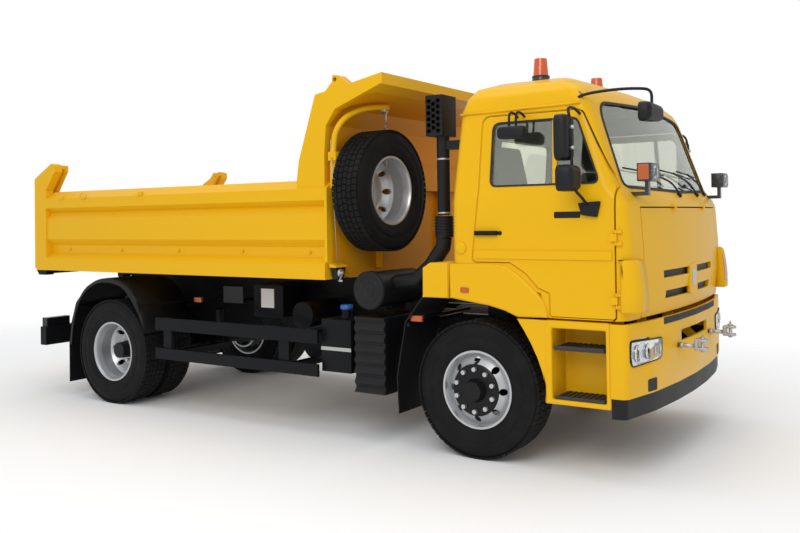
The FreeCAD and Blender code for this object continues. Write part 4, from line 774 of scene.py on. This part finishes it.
def front_mirror_looks():
    """The mirror ahead of the windscreen's right corner, on its long arm."""
    ahead = Piece("front_mirror_body", "cab", "black_plastic")
    hood = rounded(((-1.13, 2.48), (-0.8, 2.5), (-0.8, 2.61), (-1.13, 2.62)), (0.05, 0.045, 0.045, 0.06))
    ahead.pillow(hood, 1.29, 1.38, 0.006, 0.04, 0)
    face = rounded(((-1.115, 2.493), (-0.815, 2.512), (-0.815, 2.598), (-1.115, 2.606)), 0.04)
    ahead.pillow(face, 1.2865, 1.291, 0, 0, 0, MIRROR_FACE)
    arm = ((0.78, -1.075, 2.65), (0.9, -1.14, 2.69), (1.08, -1.11, 2.712), (1.25, -1.03, 2.718),
           (1.33, -0.97, 2.7), (1.338, -0.96, 2.6))
    ahead.tube(through(arm), MIRROR_ARM_R, 12)
    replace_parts(ahead.done(), "front_mirror")


def wiper_looks():
    """Three arms from their spindles, each with its blade on the glass."""
    wipers = Piece("wiper_arms", "cab", "black_plastic")
    for run, half in ((((-0.12, 1.985), (-0.21, 2.09), (-0.62, 2.155)), 0.36),
                      (((0.44, 1.995), (0.33, 2.095), (-0.02, 2.165)), 0.32),
                      (((0.8, 2.005), (0.72, 2.095), (0.43, 2.17)), 0.3)):
        lifts = (0.016, 0.026, 0.022)
        wipers.tube(through([cab_front(y, z, lift) for (y, z), lift in zip(run, lifts)]), 0.0075, 8)
        y, z = run[0]
        wipers.lathe(cab_front(y, z, 0), 0, ((-0.01, 0.017), (0.018, 0.017), (0.026, 0.009)), 16)
        y, z = run[-1]
        blade = [cab_front(y + half * share, z - 0.05 * half * share, 0.011) for share in (-1, -0.5, 0, 0.5, 1)]
        wipers.tube(blade, 0.0065, 8)
    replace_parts(wipers.done(), "wipers")


def roof_and_badge():
    """The roof hatch, and a blank badge on the front panel."""
    roof = Piece("roof_hatch", "cab", "cab_paint")
    roof.prism(pane(0.1, 0.62, -0.36, 0.36, 0.06), 2.878, 2.893, 2)
    roof.done()

    badge = Piece("blank_badge", "front_panel", "aluminium")
    x = cab_front(0, 1.336, 0)[0]
    block = rounded(((-0.105, 1.215), (0.105, 1.215), (0.09, 1.45), (-0.09, 1.45)), 0.03)
    badge.pillow(block, x - 0.02, x + 0.012, 0, 0.01, 0, YELLOW_PAINT)
    shield = rounded(((-0.038, 1.275), (0.038, 1.275), (0.048, 1.405), (-0.048, 1.405)), 0.022)
    badge.pillow(shield, x + 0.011, x + 0.018, 0, 0.004, 0)
    badge.done()


def corner_ring(z, front, inset):
    """The corner deflector's outline at a height, its back inside the cab's wall."""
    side, turn = 1.262 - inset, 0.1
    angles = [math.pi * step / 16 for step in range(9)]
    arc = [(front - inset - turn * (1 - math.sin(angle)), side - turn * (1 - math.cos(angle))) for angle in angles]
    return [(x, y, z) for x, y in [(1.192, 1.205), (1.192, side - 0.008), (1.21, side)] + arc
            + [(front - inset, 1.06), (1.24, 1.06), (1.238, 1.1)]]


FENDER_TOP = ((-0.163, 1.226), (-0.163, 1.492), (0.2, 1.493), (0.31, 1.483),
              (0.4, 1.432), (0.48, 1.368), (0.555, 1.302), (0.61, 1.24), (0.64, 1.18), (0.65, 1.114))
FENDER_ARCH = ((0.405, 1.108), (0.3, 1.15), (0.163, 1.182), (-0.069, 1.212))
CROWN_BEHIND_CAB = ((-0.404, 1.222), (-0.404, 1.43), (-0.392, 1.458), (-0.365, 1.48), (-0.325, 1.492),
                    (-0.174, 1.4935), (-0.174, 1.222))
SKIRT_EDGE = ((0.632, 0.511), (0.632, 1.098), (0.405, 1.098), (0.455, 1.02), (0.51, 0.93), (0.56, 0.83),
              (0.6, 0.723), (0.622, 0.62))
DEFLECTOR_LEVELS = ((1.176, 1.325, 0.008), (1.184, 1.325, 0.0), (1.3, 1.325, 0.0), (1.4, 1.316, 0.0),
                    (1.5, 1.3, 0.0), (1.524, 1.294, 0.004), (1.534, 1.288, 0.016))


def fender_looks():
    """Fenders with rounded rims, the corner deflectors, and what joins them on the chassis."""
    wings = Piece("fenders_and_deflectors", "cab", "cab_paint")
    wings.pillow(FENDER_TOP + FENDER_ARCH, 0.62, 1.25, 0, 0.022)
    wings.loft([corner_ring(*level) for level in DEFLECTOR_LEVELS])
    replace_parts(wings.mirror().done(), "cab_fenders")

    lamp = Piece("corner_turn_lamp", "cab", "amber_lens")
    lens = ((1.3, 1.24), (1.329, 1.24), (1.329, 1.3), (1.32, 1.4), (1.308, 1.47), (1.28, 1.47))
    lamp.prism(lens, 1.07, 1.15)
    lamp.done()

    arch = Piece("skirt_arches", "chassis", "cab_paint")
    arch.pillow(CROWN_BEHIND_CAB, 0.62, 1.2515, 0, 0.022)
    arch.pillow(SKIRT_EDGE, 1.205, 1.25, 0, 0.012)
    arch.mirror().done()


MIRROR_STEM = ((0.88, 1.138, 2.556), (0.89, 1.28, 2.585), (0.9, 1.4, 2.57), (0.915, 1.42, 2.5),
               (0.925, 1.42, 2.3), (0.93, 1.42, 2.09), (0.94, 1.4, 2.015), (0.955, 1.31, 1.955),
               (0.965, 1.236, 1.9))


def door_trim(side, sign):
    """What rides on a door, apart from its mirrors: seal, window bar, handle end, blank strip and lining."""
    body = "door_" + side

    def skin(x, z, lift):
        return (x, sign * (cab_at(z)[1] + lift), z)

    seals = Piece("window_seal_" + side, body, "black_plastic")
    seals.band(finer(DOOR_WINDOW), 0.006, 0.008, 0.004, skin, material=WINDOW_SEAL)
    seals.done()

    trim = Piece("door_trim_" + side, body, "cab_paint")
    trim.plate(((0.69, 2.06), (0.722, 2.06), (0.706, 2.54), (0.674, 2.54)), skin, -0.03, 0.002)
    trim.done()

    fittings = Piece("door_fittings_" + side, body, "black_plastic")
    fittings.lathe((0.27, sign * 1.2305, 1.719), 1, ((0, 0.016), (sign * 0.006, 0.016), (sign * 0.008, 0.012)), 20)
    strip = rounded(((0.705, 1.823), (0.9, 1.823), (0.912, 1.868), (0.705, 1.868)), 0.008)
    width = cab_at(1.845)[1]
    fittings.prism(strip, sign * width, sign * (width + 0.003))
    fittings.done()

    inside = Piece("door_lining_" + side, body, "cabin_plastic")
    panel = rounded(((0.16, 1.56), (1.0, 1.56), (1.06, 1.98), (0.16, 1.98)), 0.04)
    inside.prism(panel, sign * 1.17, sign * 1.192)
    inside.box(0.35, 0.8, sign * 1.12, sign * 1.172, 1.74, 1.775)
    pull = ((0.86, sign * 1.175, 1.7), (0.9, sign * 1.135, 1.7), (0.9, sign * 1.135, 1.8))
    inside.tube(pull, 0.009, 8, BLACK_PLASTIC)
    inside.done()


def door_mirrors(side, sign):
    """Main and wide mirror on their stem, their faces, and on the right the kerb mirror."""
    body = "door_" + side
    pair = Piece("mirror_bodies_" + side, body, "black_plastic")
    for x0, x1, y0, y1, z0, z1, edge in ((0.83, 0.92, 1.335, 1.505, 2.215, 2.53, 0.034),
                                         (0.845, 0.965, 1.32, 1.52, 2.005, 2.185, 0.045)):
        housing = pane(sign * y0, sign * y1, z0, z1, 0.055)
        pair.pillow(housing, x0, x1, 0.006, edge, 0)
    pair.tube(through([(x, sign * y, z) for x, y, z in MIRROR_STEM]), MIRROR_ARM_R, 12)
    foot = rounded(((0.924, 1.842), (1.03, 1.826), (1.058, 1.937), (0.896, 1.927)), 0.01)
    pair.prism(foot, sign * 1.224, sign * 1.258)
    for z in (2.44, 2.3, 2.12, 2.06):
        pair.lathe((0.916, sign * 1.42, z), 0, ((0, 0.014), (0.026, 0.014), (0.03, 0.009)), 12, BARE_STEEL)
    if side == "right":
        kerb = pane(-1.35, -1.25, 2.4, 2.49, 0.03)
        pair.pillow(kerb, 0.31, 0.535, 0.03, 0.03, 0)
        for x in (0.395, 0.45):
            bracket = ((x, -1.136, 2.56), (x, -1.22, 2.592), (x, -1.29, 2.58), (x, -1.302, 2.48))
            pair.tube(through(bracket), 0.009)
    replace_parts(pair.done(), "mirror_" + side)

    glass = Piece("mirror_faces_" + side, body, "steel")
    for x, y0, y1, z0, z1 in ((0.8265, 1.348, 1.492, 2.23, 2.515), (0.8415, 1.334, 1.506, 2.02, 2.17)):
        glass.prism(pane(sign * y0, sign * y1, z0, z1, 0.02), x, x + 0.005, 0, MIRROR_FACE)
    glass.done()


# Lamps, chassis fittings and the tipping body's fittings

BUMPER_BOW = ((0.0, 1.35), (0.43, 1.338), (0.87, 1.3), (1.25, 1.222))
LAMP_BOWL = ((0.0016, 0.2), (0.005, 0.35), (0.005, 0.45), (0.0018, 0.5), (0.0052, 0.98), (0.0016, 1.0))
LAMP_Z, FORK_Z, WORK_LAMP_Z = 0.888, 0.862, 2.132


def bumper_at(y):
    """How far ahead the bumper's bowed front stands, straight between a few places."""
    for (near, x0), (far, x1) in zip(BUMPER_BOW, BUMPER_BOW[1:]):
        if abs(y) <= far:
            return x0 + (x1 - x0) * (abs(y) - near) / (far - near)
    return BUMPER_BOW[-1][1]


def bumper_face(y, z, lift):
    """A point on the bumper's front, right of the middle, lifted off it."""
    return (bumper_at(y) + lift, -y, z)


def front_lamps():
    """Lenses and bowls of the headlamps, fender markers, fog slots and the bumper's slot."""
    lens = Piece("headlamp_lenses", "chassis", "lamp_lens")
    shape = finer(rounded(((0.765, 0.822), (1.18, 0.806), (1.197, 0.88), (1.19, 0.972), (0.752, 0.958)),
                          (0.05, 0.03, 0.02, 0.02, 0.03)), 0.05)
    lens.plate(shape, bumper_face, 0.0055, 0.0085)
    lens.plate(shape, bumper_face, 0.0002, 0.0015, material=REFLECTOR)
    lens.band(shape, 0.001, 0.007, 0.0045, lambda y, z, lift: bumper_face(y, z, lift + 0.003), material=WINDOW_SEAL)
    for y, radius in ((1.105, 0.06), (0.965, 0.056)):
        bowl = [(lift, radius * share) for lift, share in LAMP_BOWL]
        lens.lathe(bumper_face(y, LAMP_Z, 0), 0, bowl, 32, REFLECTOR)
    for y in (0.8, 0.823, 0.846, 0.869):
        lens.prism(pane(y, y + 0.012, 0.85, 0.935), bumper_at(y), bumper_at(y) + 0.005, 0, REFLECTOR)
    lens.mirror().done()

    amber = Piece("fender_markers", "cab", "amber_lens")
    amber.prism(pane(-0.062, 0.01, 1.27, 1.312, 0.012), -1.256, -1.2495)
    amber.mirror().done()

    fog = Piece("fog_slots", "chassis", "lamp_lens")
    slot = pane(0.845, 0.972, 0.603, 0.69, 0.015)
    fog.plate(slot, bumper_face, -0.004, 0.0012, material=WINDOW_SEAL)
    fog.mirror().done()

    grille = Piece("bumper_top_slot", "chassis", "black_plastic")
    for y0, y1 in ((-0.7, -0.43), (-0.43, 0.0), (0.0, 0.43), (0.43, 0.7)):
        grille.plate(pane(y0, y1, 1.046, 1.094), bumper_face, -0.004, 0.0025, material=WINDOW_SEAL)
    grille.done()


def tow_forks():
    """Jaws with a ringed pin on round stems, in the plain CAD forks' place."""
    forks = Piece("tow_jaws", "chassis", "steel")
    y = -0.425
    forks.tube([(1.312, y, FORK_Z), (1.48, y, FORK_Z)], 0.017, 20)
    forks.lathe((1.35, y, FORK_Z), 0, ((0, 0.024), (0.002, 0.027), (0.022, 0.027), (0.024, 0.024)), 6)
    forks.pillow(pane(1.46, 1.486, -0.46, -0.39, 0.006), 0.835, 0.915, 0.004, 0.004, 2)
    jaw = pane(1.462, 1.56, -0.458, -0.392, (0.004, 0.03, 0.03, 0.004))
    for low, high in ((0.833, 0.855), (0.895, 0.917)):
        forks.pillow(jaw, low, high, 0.004, 0.004, 2)
    forks.lathe((1.515, y, 0.82), 2, ((0, 0.013), (0.003, 0.015), (0.013, 0.02), (0.013, 0.0145), (0.097, 0.0145),
                                       (0.097, 0.023), (0.106, 0.023), (0.11, 0.019)), 24)
    angles = [math.pi * step / 8 for step in range(17)]
    ring = [(1.515, y + 0.017 * math.cos(angle), 0.938 + 0.014 * math.sin(angle)) for angle in angles]
    forks.tube(ring, 0.004, 8)
    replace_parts(forks.mirror().done(), "tow_forks")


def work_lamps():
    """Lenses on the cab's work lamps; the right one is amber on its outer side, as in the photo."""
    lamps = Piece("work_lamp_lenses", "cab", "lamp_lens")
    for y in (-0.995, 0.995):
        front = pane(y - 0.08, y + 0.08, 2.08, 2.186, 0.016)
        lamps.pillow(front, 1.355, 1.371, 0, 0.006, 0)
        bowl = ((0, 0.046), (0.003, 0.047), (0.003, 0.03), (0.001, 0.012))
        lamps.lathe((1.361, y, WORK_LAMP_Z), 0, bowl, 28, REFLECTOR)
    side = pane(1.272, 1.35, 2.08, 2.186, 0.014)
    lamps.pillow(side, -1.098, -1.083, 0.006, 0, material=AMBER_LENS)
    lamps.done()


def side_markers():
    """Amber lamps on arms from the rails, behind the front wheel and ahead of the rear wheels."""
    amber = Piece("side_marker_lamps", "chassis", "amber_lens")
    for x in (-3.345, -0.487):
        y, z = (-0.845 if x < -1 else -1.2), 1.05
        amber.box(x - 0.05, x + 0.05, y - 0.022, y, z - 0.022, z + 0.022)
        amber.box(x - 0.055, x + 0.055, y, y + 0.01, z - 0.028, z + 0.028, material=BLACK_PLASTIC)
        amber.box(x - 0.012, x + 0.012, y + 0.008, -0.39, z - 0.012, z + 0.012, material=BLACK_PLASTIC)
    amber.mirror().done()


def tail_lamps():
    """Amber, red and clear lenses on each tail lamp."""
    lamps = Piece("tail_lamp_lenses", "chassis", "lamp_lens")
    for y, material in ((0.9, AMBER_LENS), (0.99, RED_LENS), (1.08, LAMP_LENS)):
        lamps.box(-5.5395, -5.5345, y - 0.04, y + 0.04, 0.707, 0.776, material=material)
    lamps.mirror().done()


def beacon_looks():
    """Black rings under the domes of the beacons."""
    beacons = Piece("beacon_rings", "cab", "black_plastic")
    for y in (-0.6, 0.6):
        ring = ((0, 0.069), (0.002, 0.071), (0.012, 0.071), (0.014, 0.066))
        beacons.lathe((0.327, y, 2.94), 2, ring, 40, WINDOW_SEAL)
    beacons.done()


RAIL_BACK, RAIL_WEB, BOLT_PITCH = -4.9, 0.4, 0.28
BOLT_HEAD = ((0, 0.014), (-0.008, 0.014), (-0.01, 0.011))


def chassis_fittings():
    """Rail bolts, tank strap, urea cap, battery cover, filter lid and blank labels."""
    rails = Piece("rail_bolts", "chassis", "frame_paint")
    for step in range(20):
        for z in (0.79, 0.96):
            rails.lathe((RAIL_BACK + BOLT_PITCH * step, -RAIL_WEB, z), 1, BOLT_HEAD, 6)
    rails.mirror().done()

    straps = Piece("tank_straps", "chassis", "steel")
    straps.box(-1.512, -1.191, -1.153, -1.1505, 0.725, 0.755)
    straps.done()

    cap = Piece("urea_cap", "chassis", "black_plastic")
    side = ((0, 0.052), (0.004, 0.055), (0.034, 0.055), (0.04, 0.049))
    cap.lathe((-1.35, -1.0, 1.062), 2, side, 32, BLUE_CAP)
    cap.done()

    battery = Piece("battery_cover_waves", "chassis", "black_plastic")
    waves = [(-1.16 - 0.011 * math.cos(2 * math.pi * step / 8), 0.405 + 0.62 * step / 56) for step in range(57)]
    battery.prism([(-1.148, 0.405)] + waves + [(-1.148, 1.025)], -1.142, -0.839, 0)
    battery.done()

    filters = Piece("filter_lid_rings", "chassis", "black_plastic")
    for radius, depth in ((0.15, 0.006), (0.105, 0.01), (0.055, 0.014)):
        ring = ((0.002, radius), (-depth, radius), (-depth - 0.003, radius * 0.93))
        filters.lathe((-0.98, -1.1745, 1.25), 1, ring)
    filters.done()

    labels = Piece("blank_labels", "chassis", "white_box")
    labels.box(-2.579, -2.414, -0.7625, -0.76, 1.0, 1.18)
    labels.box(-3.06, -2.795, -0.79, -0.778, 1.03, 1.19, material=SPRING_STEEL)
    labels.box(-2.95, -2.905, -0.779, -0.398, 1.035, 1.06, material=FRAME_PAINT)
    labels.done()


def tread_looks():
    """Raised bars across the steps."""
    treads = Piece("tread_bars", "chassis", "steel")
    for z in (0.9135, 0.5595):
        for step in range(9):
            x = 0.712 + 0.041 * step
            treads.box(x, x + 0.018, -1.228, -1.02, z, z + 0.007, material=TREAD_STEEL)
        treads.box(0.694, 1.059, -1.2385, -1.232, z - 0.01, z + 0.01, material=TREAD_STEEL)
    treads.mirror().done()


SNORKEL_XY = (-0.37, -0.97)           # the pipe's axis
FOLD_STEP = 0.004


def snorkel_looks():
    """Intake cups, the bellows' folds and the clamp bands."""
    cups = Piece("intake_cups", "cab", "black_plastic")
    for column, rows, lift in ((0, 6, 0), (1, 5, 0.024), (2, 6, 0)):
        for row in range(rows):
            x, z = -0.437 + 0.043 * column, 2.53 + 0.048 * row + lift
            cups.lathe((x, -1.069, z), 1, ((0, 0.021), (-0.006, 0.02), (-0.006, 0.016), (-0.0012, 0.015)), 20)
            cups.lathe((x, -1.07, z), 1, ((0, 0.015), (-0.0016, 0.0148)), 20, WINDOW_SEAL)
    folds = [(0.01 + FOLD_STEP * step, 0.074 + 0.006 * math.cos(math.pi * step / 3)) for step in range(37)]
    cups.lathe((*SNORKEL_XY, 1.69), 2, [(0.0, 0.06), *folds, (0.16, 0.06)], 40)
    for z, radius in ((1.868, 0.055), (2.3, 0.0545)):
        clamp = ((0, radius - 0.002), (0.001, radius), (0.013, radius), (0.014, radius - 0.002))
        cups.lathe((*SNORKEL_XY, z), 2, clamp, 32, BARE_STEEL)
    cups.done()


MUDGUARD = ((-4.88, 0.56), (-4.864, 0.68), (-4.838, 0.8), (-4.8, 0.91), (-4.745, 1.015), (-4.665, 1.115),
            (-4.56, 1.192), (-4.425, 1.246), (-4.278, 1.264), (-4.13, 1.254), (-3.99, 1.208), (-3.88, 1.125),
            (-3.79, 1.01), (-3.73, 0.88), (-3.69, 0.735))


def mudguard_covers():
    """The rear mudguards' smooth crowns, with a rolled outer lip."""
    covers = Piece("mudguard_crowns", "chassis", "black_plastic")
    path = through([(x, 0, z) for x, z in MUDGUARD], 3)
    rings = []
    for index, point in enumerate(path):
        along = (path[min(index + 1, len(path) - 1)] - path[max(index - 1, 0)]).normalized()
        out = Vector((-along.z, 0, along.x))
        reach = math.dist((point.x, point.z), (REAR_AXLE, TYRE_R))
        lip = max(0.006, min(0.04, (reach - 0.545) * 0.4))
        section = ((0.004, -0.64), (0.004, -1.19), (0.002, -1.222), (-0.006, -1.24), (-lip, -1.2475),
                   (-lip, -1.2425), (-0.007, -1.234), (-0.003, -1.215), (-0.003, -0.64))
        rings.append([point + out * lift + Vector((0, y, 0)) for lift, y in section])
    covers.loft(rings)
    covers.mirror().done()


def tub_fixings():
    """Lugs, eyes and bolts along the tub."""
    fixings = Piece("body_lugs", "dump_body", "body_paint")
    for x, z in ((-5.0, 2.105), (-3.72, 2.115)):
        lug = ((x - 0.035, z - 0.018), (x + 0.035, z - 0.018), (x + 0.05, z + 0.018), (x - 0.02, z + 0.018))
        fixings.prism(lug, -1.262, -1.246)
    angles = [step * math.pi / 6 for step in range(13)]
    eye = [(-4.615 + 0.05 * math.cos(angle), -1.256, 2.115 + 0.03 * math.sin(angle)) for angle in angles]
    fixings.tube(through(eye, 2), 0.006, 8)
    for x in (-4.95, -4.1, -3.25, -2.4, -1.6):
        fixings.lathe((x, -1.172, 1.556), 1, ((0.002, 0.012), (-0.018, 0.012), (-0.02, 0.009)), 12)
    fixings.mirror().done()


def davit_looks():
    """The spare wheel's arm with its pulley, hook and rope."""
    arm = Piece("davit_arm", "dump_body", "body_paint")
    bend = ((-1.302, -1.222, 2.345), (-1.292, -1.222, 2.44), (-1.27, -1.215, 2.57), (-1.222, -1.16, 2.68),
            (-1.16, -1.04, 2.755), (-1.1, -0.92, 2.786), (-1.05, -0.77, 2.8))
    arm.tube(through(bend), 0.025, 14)
    arm.box(-1.342, -1.262, -1.236, -1.18, 2.33, 2.402)
    pulley = ((-0.018, 0.034), (-0.008, 0.026), (0.004, 0.026), (0.014, 0.034))
    arm.lathe((-1.062, -0.8, 2.775), 0, pulley, 24, BARE_STEEL)
    arm.tube([(-1.05, -0.8, 2.79), (-1.05, -0.8, 2.642)], 0.007, 8, BARE_STEEL)
    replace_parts(arm.done(), "davit")

    cable = Piece("davit_cables", "dump_body", "steel")
    hook = ((-1.05, -0.8, 2.65), (-1.062, -0.8, 2.625), (-1.066, -0.79, 2.6), (-1.05, -0.785, 2.58),
            (-1.04, -0.79, 2.6))
    cable.tube(through(hook), 0.007, 8)
    cable.tube([(-1.056, -0.785, 2.59), (-1.06, -0.785, 2.4), (-1.066, -0.785, 2.22)], 0.005, 6)
    cable.tube([(-1.3, -1.25, 2.5), (-1.305, -1.215, 2.0), (-1.315, -1.16, 1.45)], 0.004, 6)
    cable.done()


def winch_and_latches():
    """The hand winch on its shelf, and the tailgate's latches."""
    winch = Piece("hand_winch", "dump_body", "black_plastic")
    winch.prism([(-1.205, 1.435), (-1.065, 1.435), (-1.11, 1.31), (-1.175, 1.335)], -1.358, -1.3, 0)
    shelf = ((-1.362, 1.432), (-1.285, 1.432), (-1.3, 1.446), (-1.362, 1.47))
    winch.prism(shelf, -1.215, -1.06, material=BODY_PAINT)
    drum = ((0, 0.036), (0.012, 0.036), (0.014, 0.012), (0.034, 0.012))
    winch.lathe((-1.3, -1.15, 1.385), 0, drum, 24, BARE_STEEL)
    crank = ((-1.275, -1.15, 1.385), (-1.27, -1.185, 1.33), (-1.268, -1.2, 1.322), (-1.235, -1.2, 1.322))
    winch.tube(crank, 0.009, 10, BARE_STEEL)
    winch.done()

    latches = Piece("tailgate_latches", "dump_body", "body_paint")
    latches.prism([(-5.3, 1.3), (-5.272, 1.3), (-5.272, 1.42), (-5.3, 1.4)], -1.158, -1.151)
    latches.mirror().done()


def cab_inside():
    """What shows through the glass: instruments, gear lever and sun visors."""
    desk = Piece("instrument_panel", "cab", "cabin_plastic")
    desk.prism([(0.85, 1.84), (0.845, 1.98), (0.93, 2.03), (1.02, 1.99), (1.02, 1.9)], 0.4, 0.86)
    for y in (0.53, 0.63, 0.73):
        dial = ((0.004, 0.04), (-0.003, 0.04), (-0.005, 0.034))
        desk.lathe((0.846, y, 1.935), 0, dial, 24, BLACK_PLASTIC)
    for y in (-0.95, -0.25, 0.15):
        desk.prism(pane(y - 0.08, y + 0.08, 1.8, 1.85, 0.01), 0.835, 0.865, 0, BLACK_PLASTIC)
    desk.tube([(0.66, 0.1, 1.515), (0.655, 0.12, 1.7), (0.63, 0.13, 1.9)], 0.011, 10, BLACK_PLASTIC)
    knob = ((0, 0.012), (0.01, 0.026), (0.04, 0.028), (0.06, 0.014))
    desk.lathe((0.63, 0.13, 1.895), 2, knob, 20, BLACK_PLASTIC)
    desk.prism(pane(0.62, 0.7, 0.02, 0.22), 1.512, 1.56, 2)
    desk.done()

    visors = Piece("sun_visors", "cab", "cabin_plastic")
    for y in (-0.52, 0.52):
        visors.prism([(0.88, 2.6), (0.905, 2.61), (0.855, 2.77), (0.83, 2.76)], y - 0.26, y + 0.26)
    visors.done()


# Stage, light and camera

def set_world():
    """Soft light from all sides, and plain white where the camera looks past the truck."""
    scene = bpy.context.scene
    scene.view_settings.view_transform = "Standard"
    scene.world = scene.world or bpy.data.worlds.new("studio")
    scene.world.use_nodes = True
    tree = scene.world.node_tree
    tree.nodes.clear()
    rays = new_node(tree, "ShaderNodeLightPath").outputs
    seen = Value(tree, rays["Is Camera Ray"]).maths("ADD", Value(tree, rays["Is Transmission Ray"]), clamp=True)
    light = made(tree, "ShaderNodeBackground", {0: (0.96, 0.98, 1.0), 1: 0.72})
    backdrop = made(tree, "ShaderNodeBackground", {0: (1, 1, 1)})
    either = made(tree, "ShaderNodeMixShader", {0: seen, 1: light, 2: backdrop})
    new_node(tree, "ShaderNodeOutputWorld", {0: either})


def set_lights():
    """A key light from the front right and a wide one from above."""
    for name, place, size, watts in (("key", (4.0, -10.0, 8.0), 6.0, 420.0), ("sky", (0.0, 0.0, 11.0), 9.0, 260.0)):
        lamp = bpy.data.lights.new(name, "AREA")
        lamp.size, lamp.energy = size, watts
        item = bpy.data.objects.new(name, lamp)
        bpy.context.collection.objects.link(item)
        item.location = place
        item.rotation_euler = (Vector((0, 0, 1)) - Vector(place)).to_track_quat("-Z", "Y").to_euler()


def set_floor():
    """A pale floor that keeps the shadow and fades into the backdrop."""
    mesh = bpy.data.meshes.new("floor")
    mesh.from_pydata([(-60, -60, 0), (60, -60, 0), (60, 60, 0), (-60, 60, 0)], [], [(0, 1, 2, 3)])
    item = bpy.data.objects.new("floor", mesh)
    bpy.context.collection.objects.link(item)
    finish = Finish("pale_floor", (1.0, 1.0, 1.0), 1.0, Specular_IOR_Level=0.0)
    x, y, _ = finish.place()
    finish.feed("Alpha", (2.0 - length(x * 0.55, y) * 0.33).clamp())
    mesh.materials.append(finish.material)


def set_camera():
    """The photo's camera, solved from the wheels and the body's edges."""
    yaw, pitch, roll = 0.564, 0.0146, -0.0147
    ahead = Vector((-math.sin(yaw) * math.cos(pitch), math.cos(yaw) * math.cos(pitch), math.sin(pitch)))
    level = ahead.cross(Vector((0, 0, 1))).normalized()
    above = level.cross(ahead)
    right = level * math.cos(roll) + above * math.sin(roll)
    up = above * math.cos(roll) - level * math.sin(roll)
    camera = bpy.data.cameras.new("photo_camera")
    item = bpy.data.objects.new("photo_camera", camera)
    bpy.context.collection.objects.link(item)
    camera.sensor_width, camera.lens = 36.0, 38.06
    camera.shift_x, camera.shift_y = -0.0426, -0.0776
    turn = Matrix((right, up, -ahead)).transposed()
    item.matrix_world = Matrix.Translation((5.1828, -6.752, 1.8457)) @ turn.to_4x4()
    bpy.context.scene.camera = item


for fit in (finish_nodes, round_edges, all_tyres, cab_trim, front_mirror_looks, wiper_looks, roof_and_badge,
            fender_looks):
    fit()
for side, sign in SIDES:
    door_trim(side, sign)
    door_mirrors(side, sign)
for fit in (front_lamps, tow_forks, work_lamps, side_markers, tail_lamps, beacon_looks, chassis_fittings,
            tread_looks, snorkel_looks, mudguard_covers, tub_fixings, davit_looks, winch_and_latches, cab_inside,
            set_world, set_lights, set_floor, set_camera):
    fit()
